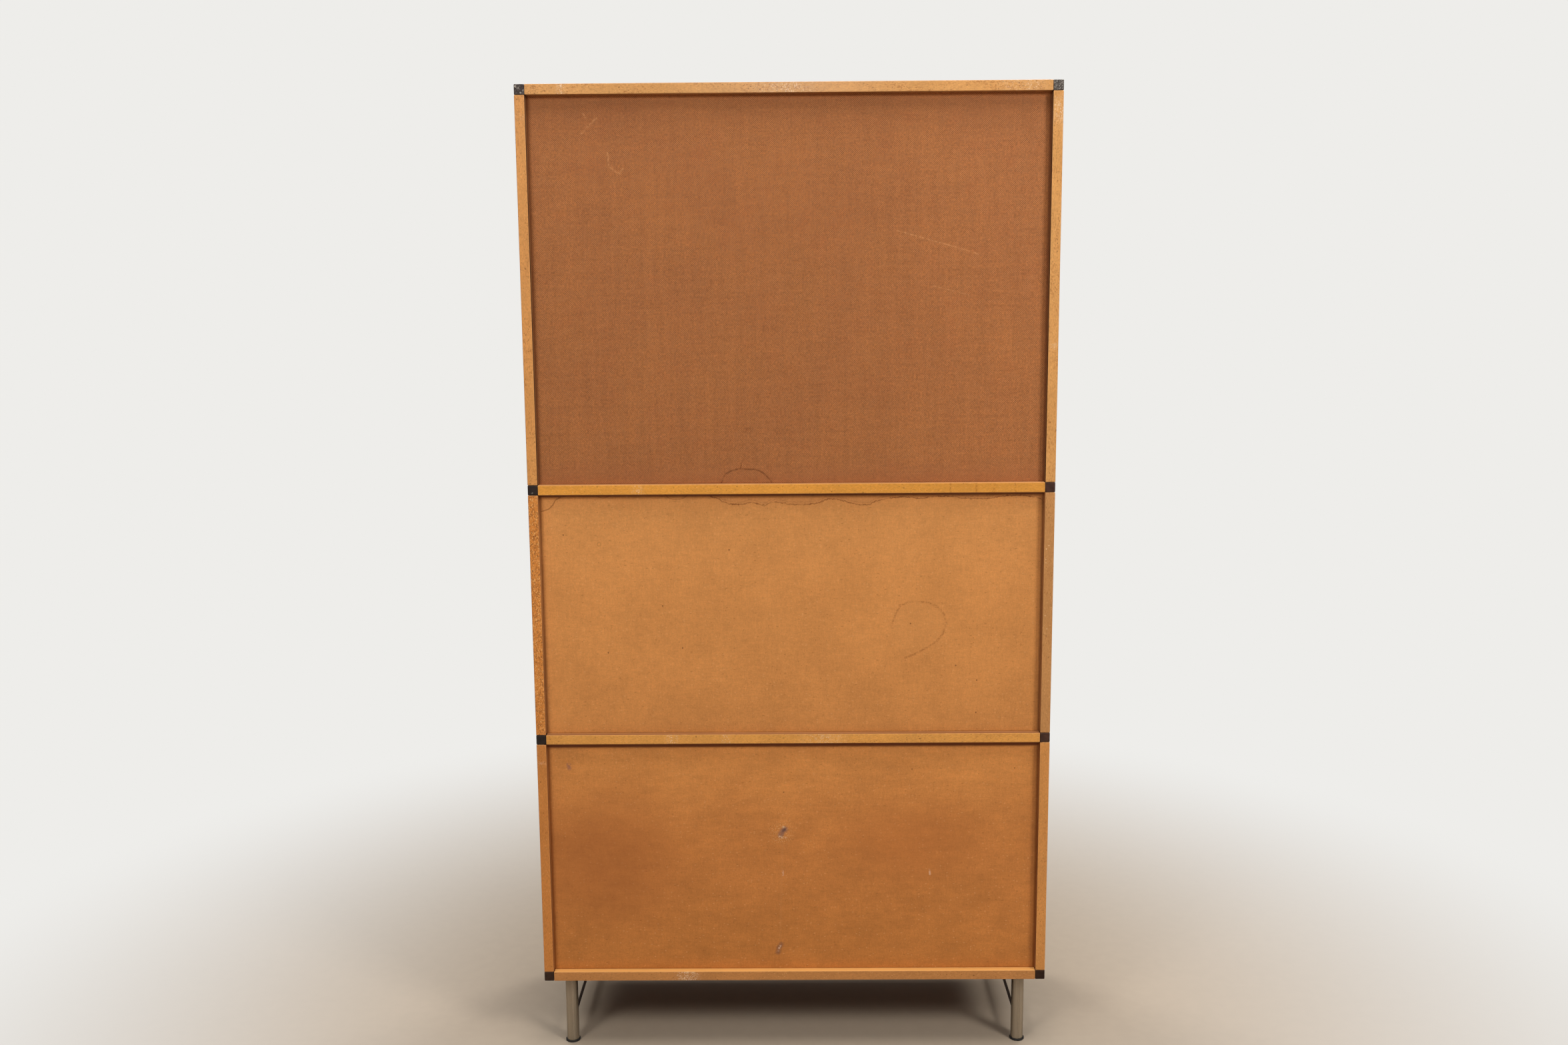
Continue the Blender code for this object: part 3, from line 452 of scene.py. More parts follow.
def smooth_sheet(name, tones, opening=None, stains=None):
    """Hardboard with its smooth side out: fine speckle and a faint mesh under lacquer."""
    skin = Finish(name, gloss=0.25)
    top, middle, low = tones
    foot, ceiling = opening or (0.0, 1.0)
    fibre = skin.noise(0.0018, detail=2.0)
    down = skin.noise(0.0018, (1, 1, 0.22), 2.0, 6)
    across = skin.noise(0.0018, (0.22, 1, 1), 2.0, 7)
    upright = skin.noise(0.005, (1, 1, 0.2), seed=1)
    level = skin.noise(0.005, (0.15, 1, 1), seed=2)
    cloud = skin.noise(0.11, detail=3.0, seed=5)
    reach = skin.math("ADD", skin.z, skin.product(skin.math("SUBTRACT", cloud, 0.5), 0.12))
    half = (foot + ceiling) / 2
    base = skin.mix(skin.step(reach, half, ceiling), middle, top)
    base = skin.mix(skin.step(reach, half, foot), base, low)
    base = skin.light(skin.step(cloud, 0.3, 0.7), base, 0.955, 1.045)
    blotch = skin.noise(0.020, detail=3.0, seed=17)
    base = skin.light(skin.step(blotch, 0.3, 0.7), base, 0.965, 1.035)
    base = skin.mix(skin.step(blotch, 0.5, 0.75, 0.0, 0.3), base, low)
    base = skin.light(skin.math("ADD", upright, level), base, 0.90, 1.05)
    base = skin.light(skin.step(skin.math("ADD", down, across), 0.65, 1.35), base, 0.945, 1.055)
    base = skin.light(skin.step(fibre, 0.2, 0.8), base, 0.91, 1.09)
    pores = skin.specks(0.0075, 0.22, 8, 0.17)
    base = skin.lay(base, tint(122, 70, 32), pores, 0.45)
    flecks = skin.specks(0.0045, 0.16, 9, 0.34, (0.6, 1, 1))
    base = skin.lay(base, tint(228, 172, 112), flecks, 0.28)
    ticks = skin.specks(0.0060, 0.14, 18, 0.22, (0.4, 1, 1))
    base = skin.lay(base, tint(120, 66, 28), ticks, 0.32)
    if stains:
        base = skin.mix(skin.rear(), base, stains(skin, base))
    return skin.paint(base, skin.step(cloud, 0.25, 0.75, 0.42, 0.55), fibre, 0.0003, 0.3)


def dots(skin, base, places, radius, colour, share):
    """Small round spots of a colour."""
    spots = skin.most(*(skin.spot(place, radius, 0.3) for place in places))
    return skin.lay(base, colour, spots, share)


def middle_stains(skin, base):
    """A tide line under the divider, a dried ring and a few dark dots."""
    stain = tint(108, 48, 14)
    wobble = skin.product(skin.math("SUBTRACT", skin.noise(0.005, detail=3.0, seed=11), 0.5), 0.0075)
    height = skin.math("ADD", skin.z, wobble)
    tide = skin.curve(skin.x, TIDE)
    run = skin.step(skin.x, TIDE_END, TIDE_END - TIDE_FADE)
    fade = skin.step(skin.noise(0.016, seed=13), 0.28, 0.52, 0.35, 1.0)
    line = skin.product(skin.near(height, tide, 0.0017), run, fade)
    second = skin.product(skin.near(height, skin.math("ADD", tide, 0.0052), 0.0014), run, 0.30)
    above = skin.product(skin.step(skin.math("SUBTRACT", height, tide), 0.0, 0.002), run)
    base = skin.lay(base, tint(150, 92, 60), above, 0.14)
    base = skin.lay(base, stain, skin.most(line, second), 0.78)
    arcs = skin.most(
        skin.near(skin.away(skin.z, (0.388, 1.2250), 0.75), 0.0150, 0.0014),
        skin.near(skin.away(skin.z, (0.2365, 1.2250), 0.65), 0.0240, 0.0014),
        skin.trail(
            ((0.5161, 1.1865), (0.5008, 1.1913), (0.4915, 1.2003), (0.4864, 1.2100), (0.4752, 1.2161)), 0.0018
        ),
    )
    base = skin.lay(base, stain, arcs, 0.55)
    edge = skin.most(
        skin.trail(MIDDLE_RING, 0.0034),
        skin.stroke(MIDDLE_RING[-1], (-0.2370, 0.8721), 0.0032),
    )
    dotted = skin.step(skin.noise(0.0032, detail=2.0, seed=12), 0.38, 0.62, 0.15, 1.0)
    base = skin.lay(base, stain, edge, fade, dotted, 0.42)
    halo = skin.step(skin.away(skin.z, (-0.2660, 0.9390), 0.95), 0.075, 0.045)
    base = skin.lay(base, tint(214, 152, 90), halo, 0.10)
    places = (
        (-0.2473, 0.9456), (-0.3428, 0.8553), (-0.3869, 0.8232), (-0.3860, 0.7532), (0.1293, 1.1039),
        (0.2694, 0.9860), (0.3855, 0.8867), (0.2294, 0.8957), (0.4724, 1.1370),
    )
    base = dots(skin, base, places, 0.0022, tint(80, 42, 20), 0.8)
    rim = skin.near(skin.away(skin.z, (0.3989, 1.1170), 1.0), 0.0036, 0.0020)
    base = skin.lay(base, tint(140, 96, 48), rim, 0.4)
    base = skin.light(skin.step(skin.x, 0.10, 0.50), base, 1.0, 1.045)
    # Dirt and painted shade at the sides and foot, and painted shade under the divider.
    return joint_dirt_and_shade(skin, base, MIDDLE, tint(92, 42, 16), 0.002, (0.0045, 0.0016, 0.8))


def lower_stains(skin, base):
    """A dark patch at the left, worn marks in the middle and a few dots."""
    streak = skin.noise(0.022, (0.35, 1, 1), 3.0, 16, 0.6)
    base = skin.light(skin.step(streak, 0.3, 0.7), base, 0.945, 1.055)
    patch = skin.spot((0.40, 0.43), 0.24, 0.1)
    base = skin.lay(base, tint(160, 92, 44), patch, 0.5)
    sweep = skin.spot((-0.25, 0.47), 0.22, 0.1, 0.6)
    base = skin.lay(base, tint(172, 100, 48), sweep, 0.35)
    torn = skin.step(skin.noise(0.004, seed=15), 0.34, 0.6)
    crumbs = skin.step(skin.noise(0.0026, seed=14), 0.56, 0.66)
    around = skin.product(skin.spot((0.0250, 0.4902), 0.036, 0.3), crumbs)
    base = skin.lay(base, tint(232, 188, 128), around, 0.62)
    bruise = skin.most(
        skin.trail(((0.0180, 0.4985), (0.0235, 0.4925), (0.0270, 0.4850)), 0.0095),
        skin.spot((0.0180, 0.4960), 0.0085, 0.2),
    )
    soft = skin.step(skin.noise(0.003, seed=19), 0.2, 0.6, 0.45, 1.0)
    base = skin.lay(base, tint(120, 86, 78), bruise, soft, 0.8)
    core = skin.stroke((0.0185, 0.4975), (0.0215, 0.4940), 0.0040)
    base = skin.lay(base, tint(86, 62, 60), core, 0.7)
    crest = skin.most(
        skin.stroke((0.0235, 0.5022), (0.0195, 0.5018), 0.0030),
        skin.trail(((0.0310, 0.4822), (0.0262, 0.4800), (0.0160, 0.4784)), 0.0040),
    )
    split = skin.step(skin.noise(0.0030, detail=2.0, seed=23), 0.44, 0.58)
    base = skin.lay(base, tint(226, 190, 150), crest, split, 0.8)
    dent = skin.trail(((0.0280, 0.2370), (0.0330, 0.2290), (0.0345, 0.2190)), 0.0085)
    base = skin.lay(base, tint(112, 76, 62), dent, soft, 0.65)
    pale = skin.most(
        skin.trail(((0.0295, 0.2345), (0.0325, 0.2285), (0.0340, 0.2225)), 0.0034),
        skin.stroke((0.0231, 0.4040), (0.0228, 0.3940), 0.0030),
        skin.stroke((-0.2915, 0.4060), (-0.2925, 0.3950), 0.0030),
    )
    base = skin.lay(base, tint(220, 178, 146), pale, torn, 0.7)
    smudge = skin.stroke((0.4760, 0.6430), (0.4745, 0.6350), 0.0070)
    base = skin.lay(base, tint(138, 92, 80), smudge, torn, 0.7)
    base = skin.lay(base, tint(214, 160, 110), skin.stroke((0.0232, 0.47), (0.0300, 0.25), 0.0045), 0.05)
    places = ((-0.2525, 0.6297), (-0.4696, 0.6311), (0.02, 0.58))
    base = dots(skin, base, places, 0.0020, tint(92, 50, 24), 0.8)
    # Dirt and painted shade at the sides and foot, and painted shade under the divider.
    return joint_dirt_and_shade(skin, base, LOWER, tint(112, 50, 6), 0.0047, (0.0085, 0.0032, 0.88))


# Boards


def edge_wood(skin, strand, node, along, edge, flecks, chips, pale):
    """A board's solid edge: flecks and pores, on the back its chips, runs of varnish and wear, and lighter
    arrises that are wear and painted highlight.
    """
    rear = skin.rear()
    half_long = lengthwise(along, 0.4)
    slight_long = lengthwise(along, 0.65)
    drift = skin.noise(0.035, half_long, 3.0, 2)
    colour = skin.light(skin.step(strand, 0.25, 0.75), tint(*edge), 0.88, 1.10)
    colour = skin.light(skin.step(drift, 0.3, 0.7), colour, 0.94, 1.05)
    patchy = skin.step(skin.noise(0.03, half_long, 2.0, 3), 0.38, 0.6, 0.35, 1.0)
    pores = skin.specks(0.0030, flecks * 2.5, 4, 0.34, slight_long)
    knots = skin.specks(0.0060, flecks, 12, 0.24, slight_long)
    colour = skin.lay(colour, tint(104, 50, 10), pores, patchy, 0.62)
    colour = skin.lay(colour, tint(84, 40, 8), knots, patchy, 0.8)
    dashes = skin.step(skin.noise(0.0020, half_long, 2.0, 18), 0.53, 0.66)
    colour = skin.lay(colour, tint(146, 80, 26), dashes, patchy, min(0.55, 3 * flecks))
    bits = skin.specks(0.0028, 0.12, 5, 0.34, slight_long)
    colour = skin.lay(colour, tint(246, 202, 138), bits, 0.32)
    if chips:
        random = skin.cells(0.0014, slight_long, 6)[1]
        chip = skin.mix(skin.step(random, 0.0, 0.5), tint(96, 42, 10), tint(208, 126, 48))
        chip = skin.mix(skin.step(random, 0.80, 0.98), chip, tint(240, 186, 114))
        colour = skin.lay(colour, chip, rear, chips)
    for place in DRIPS if node == "upper_divider" else ():
        sway = skin.product(skin.math("SUBTRACT", skin.noise(0.006, seed=13), 0.5), 0.004)
        line = skin.near(skin.math("ADD", skin.x, sway), place, 0.0036)
        broken = skin.step(skin.noise(0.004, seed=14), 0.3, 0.62)
        colour = skin.lay(colour, tint(146, 76, 14), line, broken, rear, 0.45)
    for start, end in FLAKED if node == "middle_side_left" else ():
        middle = (start + end) / 2
        zone = skin.product(skin.near(skin.z, middle, (end - start) * 0.6), rear)
        flakes = skin.product(zone, skin.specks(0.0046, 0.34, 15, 0.30))
        colour = skin.lay(colour, tint(250, 222, 178), flakes, 0.85)
    for start, end, share in pale:
        run = skin.x if along == "x" else skin.z
        middle = (start + end) / 2
        zone = skin.product(skin.near(run, middle, abs(end - start) / 2 + 0.004), rear)
        worn = skin.step(skin.noise(0.0045, (0.7, 1, 0.7), 3.0, 7, 0.65), 0.46, 0.66)
        colour = skin.lay(colour, tint(236, 204, 162), zone, worn, share * 0.7)
        sharp = skin.step(skin.noise(0.0014, (0.7, 1, 0.7), 1.0, 17), 0.60, 0.70)
        colour = skin.lay(colour, tint(252, 236, 216), zone, sharp, min(1.0, share * 1.3))
    if node == "upper_divider":
        colour = skin.light(skin.step(skin.x, 0.25, -0.55), colour, 1.0, 0.90)
    # Arrises: lighter, as wear and as a painted highlight; the top panel's upper arris is darker instead.
    worn_and_highlit_arris = tint(236, 186, 132)
    if node == "top_panel":
        above = skin.step(skin.z, TOP_EDGE - 0.002, TOP_EDGE)
        worn_and_highlit_arris = skin.mix(above, worn_and_highlit_arris, tint(120, 62, 42))
        colour = skin.lay(colour, tint(200, 212, 220), skin.near(skin.x, 0.0, 0.30), 0.07)
    side = skin.math("ABSOLUTE", skin.face[1])
    return skin.lay(colour, worn_and_highlit_arris, skin.step(side, 0.08, 0.3), skin.step(side, 0.97, 0.85), 0.45)


def face_wood(skin, pore, dust, node, along):
    """A board's veneered faces, with painted shade where they stand over the sheets on the back and
    underneath, and painted light on the bottom panel's ledge.
    """
    band = skin.noise(0.016, lengthwise(along, 0.035), 3.0, 9, warp=0.6)
    veneer = skin.mix(skin.step(band, 0.3, 0.7), tint(*VENEER, 0.9), tint(*VENEER, 1.06))
    veneer = skin.light(skin.step(pore, 0.3, 0.7), veneer, 0.84, 1.05)
    veneer = skin.light(skin.step(dust, 0.3, 0.7), veneer, 0.94, 1.04)
    # Painted shade on the inner faces from the sheets' plane back, stronger further back; on the bottom
    # panel's ledge it is painted light.
    painted_recess = next((row for start, row in PAINTED_RECESS_SHADE_AND_LIGHT.items() if node.startswith(start)), None)
    if painted_recess:
        shade, share = painted_recess
        low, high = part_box(node)
        middle = (Vector(low) + Vector(high)) / 2
        if along == "z":
            inner = skin.math("LESS_THAN", skin.math("ABSOLUTE", skin.x), abs(middle.x))
        elif node == "top_panel":
            inner = skin.math("LESS_THAN", skin.z, middle.z)
        else:
            inner = skin.math("GREATER_THAN", skin.z, middle.z)
        deep = skin.step(skin.y, RECESS, RECESS + 0.012, 0.45 * share, share)
        painted_recess_share = skin.product(skin.step(skin.y, RECESS - 0.001, RECESS), inner, deep)
        veneer = skin.mix(painted_recess_share, veneer, tint(*shade))
    if node == "bottom_panel":
        # Painted shade on the bottom panel's underside.
        under = skin.step(skin.face[2], -0.5, -0.85, 0.0, 0.7)
        veneer = skin.mix(under, veneer, tint(62, 36, 18))
    return veneer


def board(node, along, edge, flecks, chips, pale):
    """Varnished board: veneered faces with the grain along its length, and a flecked solid edge."""
    skin = Finish(node + "_wood", gloss=0.3)
    rim = skin.step(skin.math("ABSOLUTE", skin.face[1]), 0.5, 0.85)
    strand = skin.noise(0.0016, lengthwise(along, 0.4), 2.0, 1)
    pore = skin.noise(0.0011, lengthwise(along, 0.06), 2.0, 8)
    dust = skin.noise(0.12, detail=3.0, seed=10)
    solid = edge_wood(skin, strand, node, along, edge, flecks, chips, pale)
    veneer = face_wood(skin, pore, dust, node, along)
    rough = skin.step(dust, 0.3, 0.7, 0.34, 0.48)
    return skin.paint(skin.mix(rim, veneer, solid), rough, skin.mix(rim, pore, strand), 0.0002, 0.35)


def boards():
    """Each board: the way its grain runs, its edge's tint, its share of flecks and of chips, and its wear
    as start, end and share along it."""
    top_wear = ((-0.075, 0.085, 0.5), (-0.52, -0.40, 0.35), (0.44, 0.456, 0.5))
    divider_wear = ((0.24, 0.27, 0.5), (0.13, 0.15, 0.35), (-0.13, 0.0, 0.3))
    rows = {
        "top_panel": ("x", (208, 152, 90), 0.16, 0.0, top_wear),
        "upper_divider": ("x", (219, 150, 61), 0.05, 0.0, ((0.30, 0.33, 0.35),)),
        "lower_divider": ("x", (216, 151, 73), 0.07, 0.0, divider_wear),
        "bottom_panel": ("x", (190, 129, 72), 0.04, 0.0, ((0.20, 0.262, 0.75),)),
        "upper_side_right": ("z", (209, 146, 81), 0.14, 0.0, ((1.97, 1.98, 0.4),)),
        "upper_side_left": ("z", (210, 152, 87), 0.16, 0.0, ((1.95, 2.012, 0.45), (1.51, 1.53, 0.3))),
        "middle_side_right": ("z", (220, 147, 76), 0.3, 0.65, ()),
        "middle_side_left": ("z", (189, 134, 79), 0.10, 0.0, ()),
        "lower_side_right": ("z", (197, 126, 61), 0.05, 0.0, ((0.648, 0.654, 0.5),)),
        "lower_side_left": ("z", (205, 139, 73), 0.06, 0.0, ()),
        "upper_shelf_high": ("x", VENEER, 0.06, 0.0, ()),
        "upper_shelf_low": ("x", VENEER, 0.06, 0.0, ()),
        "middle_shelf": ("x", VENEER, 0.06, 0.0, ()),
    }
    for name, row in rows.items():
        dress(board(name, *row), name)


def front_wood(name, along):
    """Reddish brown veneer under satin varnish."""
    skin = Finish(name)
    long = lengthwise(along, 0.05)
    pore = skin.noise(0.0010, long, 2.0, 1)
    band = skin.noise(0.020, lengthwise(along, 0.03), 4.0, 2, warp=0.8)
    cloud = skin.noise(0.14, long, 2.0, 3)
    colour = skin.mix(skin.step(band, 0.32, 0.68), tint(128, 72, 40), tint(172, 106, 60))
    colour = skin.light(skin.step(pore, 0.3, 0.68), colour, 0.74, 1.06)
    colour = skin.light(skin.step(cloud, 0.3, 0.7), colour, 0.9, 1.08)
    side = skin.math("ABSOLUTE", skin.face[1])
    arris = skin.product(skin.step(side, 0.25, 0.9), skin.step(side, 0.98, 0.85))
    colour = skin.lay(colour, tint(196, 132, 80), arris, 0.35)
    return skin.paint(colour, skin.step(cloud, 0.3, 0.7, 0.3, 0.42), pore, 0.0002, 0.35)


def drawer_wood(name, along):
    """Pale beech with its short dark pores, lightly sealed, and darker where it is cut across."""
    skin = Finish(name)
    long = lengthwise(along, 0.08)
    pore = skin.noise(0.0012, long, 2.0, 1)
    band = skin.noise(0.018, long, 3.0, 2, warp=0.5)
    dashes = skin.specks(0.0034, 0.22, 3, 0.3, lengthwise(along, 0.3))
    colour = skin.mix(skin.step(band, 0.3, 0.7), tint(206, 170, 124), tint(224, 190, 146))
    colour = skin.light(skin.step(pore, 0.3, 0.7), colour, 0.9, 1.04)
    colour = skin.lay(colour, tint(150, 104, 62), dashes, 0.5)
    cut = skin.face[0] if along == "x" else skin.face[1]
    end = skin.step(skin.math("ABSOLUTE", cut), 0.7, 0.9)
    rings = skin.noise(0.0009, seed=4)
    colour = skin.lay(colour, tint(158, 112, 68), end, skin.step(rings, 0.35, 0.65), 0.6)
    return skin.paint(colour, skin.step(band, 0.3, 0.7, 0.45, 0.58), pore, 0.0002, 0.3)


# Posts, metal, glass and rubber


def post_paint(name, dark, worn, share, nicks):
    """Black post, with pale specks where its paint is worn."""
    skin = Finish(name, gloss=0.2)
    cloud = skin.noise(0.010, detail=3.0)
    grit = skin.noise(0.0022, detail=2.0, seed=1, rough=0.6)
    colour = skin.light(skin.step(cloud, 0.3, 0.7), tint(*dark), 0.75, 1.3)
    wear = skin.step(grit, 0.72 - share * 0.35, 0.80 - share * 0.3)
    rear = skin.rear()
    kept = skin.step(rear, 0.0, 1.0, 0.25, 0.75)
    colour = skin.lay(colour, tint(*worn), wear, kept)
    side = skin.math("ABSOLUTE", skin.face[1])
    arris = skin.product(skin.step(side, 0.1, 0.4), skin.step(side, 0.97, 0.8), skin.step(cloud, 0.4, 0.6))
    colour = skin.lay(colour, tint(*worn), arris, 0.3 + share * 0.5)
    for place, radius in nicks:
        nick = skin.product(skin.spot(place, radius, 0.2), skin.step(grit, 0.40, 0.58), rear)
        colour = skin.lay(colour, tint(200, 192, 178), nick, 0.85)
    return skin.paint(colour, skin.step(grit, 0.3, 0.7, 0.42, 0.66), grit, 0.0003, 0.5)


def posts():
    """Each post: its dark tint, the tint of its worn paint, and how much of it is worn."""
    rows = {
        "corner_post_top_right": ((54, 45, 43), (150, 140, 132), 0.4),
        "corner_post_top_left": ((70, 62, 58), (160, 154, 146), 0.6),
        "corner_post_upper_right": ((38, 28, 24), (100, 84, 74), 0.1),
        "corner_post_upper_left": ((60, 36, 27), (110, 84, 70), 0.1),
        "corner_post_lower_right": ((35, 26, 20), (90, 72, 60), 0.1),
        "corner_post_lower_left": ((66, 42, 31), (104, 78, 62), 0.1),
        "corner_post_bottom_right": ((47, 30, 19), (90, 70, 54), 0.1),
        "corner_post_bottom_left": ((42, 23, 12), (82, 60, 46), 0.1),
    }
    for name, row in rows.items():
        dress(post_paint(name + "_paint", *row, NICKS.get(name, ())), name)


def leg_metal():
    """Satin tube, drawn lengthwise, with streaks that are drawing marks and painted reflections, painted
    shade at its top under the cabinet, and the dark rod that joins each pair.
    """
    skin = Finish("leg_metal", metallic=1.0)
    drawn = skin.noise(0.0009, (1, 1, 0.01), 2.0)
    cloud = skin.noise(0.08, (1, 1, 0.4), 2.0, 1)
    # Streaks along the tube: drawing marks and painted reflections of the room.
    streak = skin.noise(0.0085, (1, 1, 0.004), 1.0, 2)
    colour = skin.mix(skin.step(cloud, 0.3, 0.7), tint(164, 155, 141), tint(178, 169, 155))
    colour = skin.light(skin.step(drawn, 0.3, 0.7), colour, 0.95, 1.03)
    colour = skin.light(skin.step(streak, 0.32, 0.68), colour, 0.85, 1.13)
    # Painted shade on the tube's top, under the cabinet.
    under = skin.step(skin.z, LEG_SHADE, LEG_TOP, 0.0, 0.5)
    colour = skin.mix(under, colour, tint(96, 80, 62))
    reach = skin.math("ABSOLUTE", skin.math("SUBTRACT", skin.y, ROD_MIDDLE))
    rod = skin.product(
        skin.step(reach, ROD_HALF + EDGE_BLUR, ROD_HALF - EDGE_BLUR),
        skin.step(skin.z, ROD_TOP + EDGE_BLUR, ROD_TOP - EDGE_BLUR),
    )
    colour = skin.mix(rod, colour, tint(62, 42, 28))
    satin = skin.step(streak, 0.3, 0.7, 0.22, 0.32)
    return skin.paint(colour, skin.math("MAXIMUM", satin, skin.product(rod, 0.55)), drawn, 0.00005, 0.3)


def nickel():
    """Satin nickel, faintly brushed, with a little handling wear."""
    skin = Finish("satin_nickel", metallic=1.0)
    brush = skin.noise(0.0006, (1, 1, 0.1), 2.0)
    cloud = skin.noise(0.008, detail=3.0, seed=1)
    colour = skin.mix(skin.step(cloud, 0.3, 0.7), tint(196, 190, 180), tint(214, 208, 198))
    return skin.paint(colour, skin.step(cloud, 0.25, 0.75, 0.2, 0.36), brush, 0.0001, 0.3)


def screw_steel():
    """Plain zinced steel, dulled."""
    skin = Finish("screw_steel", metallic=1.0)
    cloud = skin.noise(0.004, detail=3.0)
    colour = skin.mix(skin.step(cloud, 0.3, 0.7), tint(150, 146, 138), tint(186, 182, 172))
    return skin.paint(colour, skin.step(cloud, 0.25, 0.75, 0.3, 0.5), cloud, 0.0001, 0.3)


def track_plastic():
    """Dark brown plastic, drawn lengthwise."""
    skin = Finish("track_plastic")
    drawn = skin.noise(0.0008, (0.02, 1, 1), 2.0)
    cloud = skin.noise(0.03, (0.3, 1, 1), 2.0, 1)
    colour = skin.mix(skin.step(cloud, 0.3, 0.7), tint(64, 52, 42), tint(78, 66, 54))
    colour = skin.light(skin.step(drawn, 0.3, 0.7), colour, 0.9, 1.08)
    return skin.paint(colour, skin.step(cloud, 0.3, 0.7, 0.38, 0.5), drawn, 0.0001, 0.3)


def foot_rubber():
    """Black rubber with a fine grit."""
    skin = Finish("foot_rubber", gloss=0.2)
    grit = skin.noise(0.0012, detail=2.0)
    colour = skin.mix(skin.step(grit, 0.3, 0.7), tint(26, 24, 23), tint(46, 43, 41))
    return skin.paint(colour, skin.step(grit, 0.3, 0.7, 0.6, 0.8), grit, 0.0002, 0.4)


def float_glass():
    """Clear glass, faintly green, with a trace of dust. Lamps shine through it on what is behind."""
    skin = Finish("float_glass")
    skin.shader.inputs["Transmission Weight"].default_value = 1.0
    skin.shader.inputs["IOR"].default_value = 1.52
    haze = skin.noise(0.05, detail=3.0)
    colour = skin.mix(skin.step(haze, 0.3, 0.7), tint(243, 250, 247), tint(249, 253, 251))
    skin.paint(colour, skin.step(haze, 0.3, 0.8, 0.0, 0.03))
    passed = skin.add("BsdfTransparent", tint(249, 252, 250)).outputs[0]
    shadow = skin.add("LightPath").outputs["Is Shadow Ray"]
    choose(skin.tree, shadow, skin.shader.outputs[0], passed, "Material Output")
    return skin.material


def finishes():
    """Gives every node its material."""
    dress(screen_sheet(), "upper_back")
    tones = (tint(202, 138, 77), tint(199, 134, 73), tint(194, 129, 69))
    dress(smooth_sheet("middle_back_skin", tones, MIDDLE, middle_stains), "middle_back")
    tones = (tint(200, 132, 69), tint(188, 119, 60), tint(183, 116, 56))
    dress(smooth_sheet("lower_back_skin", tones, LOWER, lower_stains), "lower_back")
    inner = smooth_sheet("drawer_bottom_skin", (tint(206, 152, 96),) * 3)
    dress(inner, "upper_drawer_bottom", "lower_drawer_bottom")
    boards()
    posts()
    upright = front_wood("door_veneer", "z")
    dress(upright, "door_left", "door_right")
    level = front_wood("drawer_veneer", "x")
    dress(level, "upper_drawer_front", "lower_drawer_front")
    deep = drawer_wood("drawer_side_wood", "y")
    wide = drawer_wood("drawer_back_wood", "x")
    for drawer in ("upper_drawer", "lower_drawer"):
        dress(deep, drawer + "_side_left", drawer + "_side_right")
        dress(wide, drawer + "_back")
    metal = nickel()
    hinge_screws(metal)
    plate_screws()
    for name in NODES:
        if "knob" in name or name.startswith("hinge_"):
            dress(metal, name)
    dress(leg_metal(), "leg_frame_left", "leg_frame_right")
    rubber = foot_rubber()
    dress(rubber, "foot_front_left", "foot_front_right", "foot_rear_left", "foot_rear_right")
    dress(track_plastic(), "glass_track_top", "glass_track_bottom")
    dress(float_glass(), "glass_left", "glass_right")


# Screws


def slotted_head(mesh, turn, rings, slot):
    """A screw head of two halves on a round floor, with a slot between them. Rings go outside to inside."""
    floor = [
        mesh.verts.new(turn @ Vector((rings[0][0] * cos(angle), rings[0][0] * sin(angle), rings[0][1])))
        for angle in (2 * pi * step / (2 * ARC_STEPS) for step in range(2 * ARC_STEPS))
    ]
    mesh.faces.new(floor)
    for side in (1, -1):
        rows = []
        for radius, height in rings:
            start = asin(slot / 2 / radius)
            row = []
            for step in range(ARC_STEPS + 1):
                angle = start + (pi - 2 * start) * step / ARC_STEPS
                spot = Vector((side * radius * cos(angle), side * radius * sin(angle), height))
                row.append(mesh.verts.new(turn @ spot))
            rows.append(row)
        for outer, inner in zip(rows, rows[1:]):
            for step in range(ARC_STEPS):
                mesh.faces.new((outer[step], outer[step + 1], inner[step + 1], inner[step]))
        mesh.faces.new(rows[-1])
        mesh.faces.new([row[0] for row in rows] + [row[-1] for row in reversed(rows)])


def screws(name, places, way, head, material, body):
    """Slotted screws whose heads look along way, each turned a little differently."""
    mesh = bmesh.new()
    radius, proud = head
    face = Vector(way).to_track_quat("Z", "Y").to_matrix().to_4x4()
    rings = [(radius * wide, proud * high) for wide, high in HEAD_PROFILE]
    for number, place in enumerate(places):
        twist = Matrix.Rotation(FIRST_TURN + NEXT_TURN * number, 4, "Z")
        slotted_head(mesh, Matrix.Translation(place) @ face @ twist, rings, radius * SLOT_SHARE)
    bmesh.ops.recalc_face_normals(mesh, faces=mesh.faces)
    data = bpy.data.meshes.new(name)
    mesh.to_mesh(data)
    mesh.free()
    data.materials.append(material)
    piece = bpy.data.objects.new(name, data)
    bpy.context.scene.collection.objects.link(piece)
    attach(piece, body)


def hinge_screws(metal):
    """Three countersunk screws in each hinge leaf, nearly flush so that the leaves close."""
    axes = {joint["child"]: joint["pos_m"][0] for joint in frame["joints"] if joint["type"] == "hinge"}
    for hand in ("left", "right"):
        line = axes[hand + "_door"]
        side = 1 if line > 0 else -1
        for height in ("low", "high"):
            for half, away, body in (("frame_half", 1, "carcass"), ("door_half", -1, hand + "_door")):
                node = f"hinge_{hand}_{height}_{half}"
                low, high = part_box(node)
                x = line + side * away * LEAF_PLAY
                y = high[1] - LEAF_WIDE / 2
                z = (low[2] + high[2]) / 2
                places = [Vector((x, y, z + rise)) for rise in LEAF_SCREWS]
                way = (-side * away, 0, 0)
                screws(node + "_screws", places, way, LEAF_HEAD, metal, body)


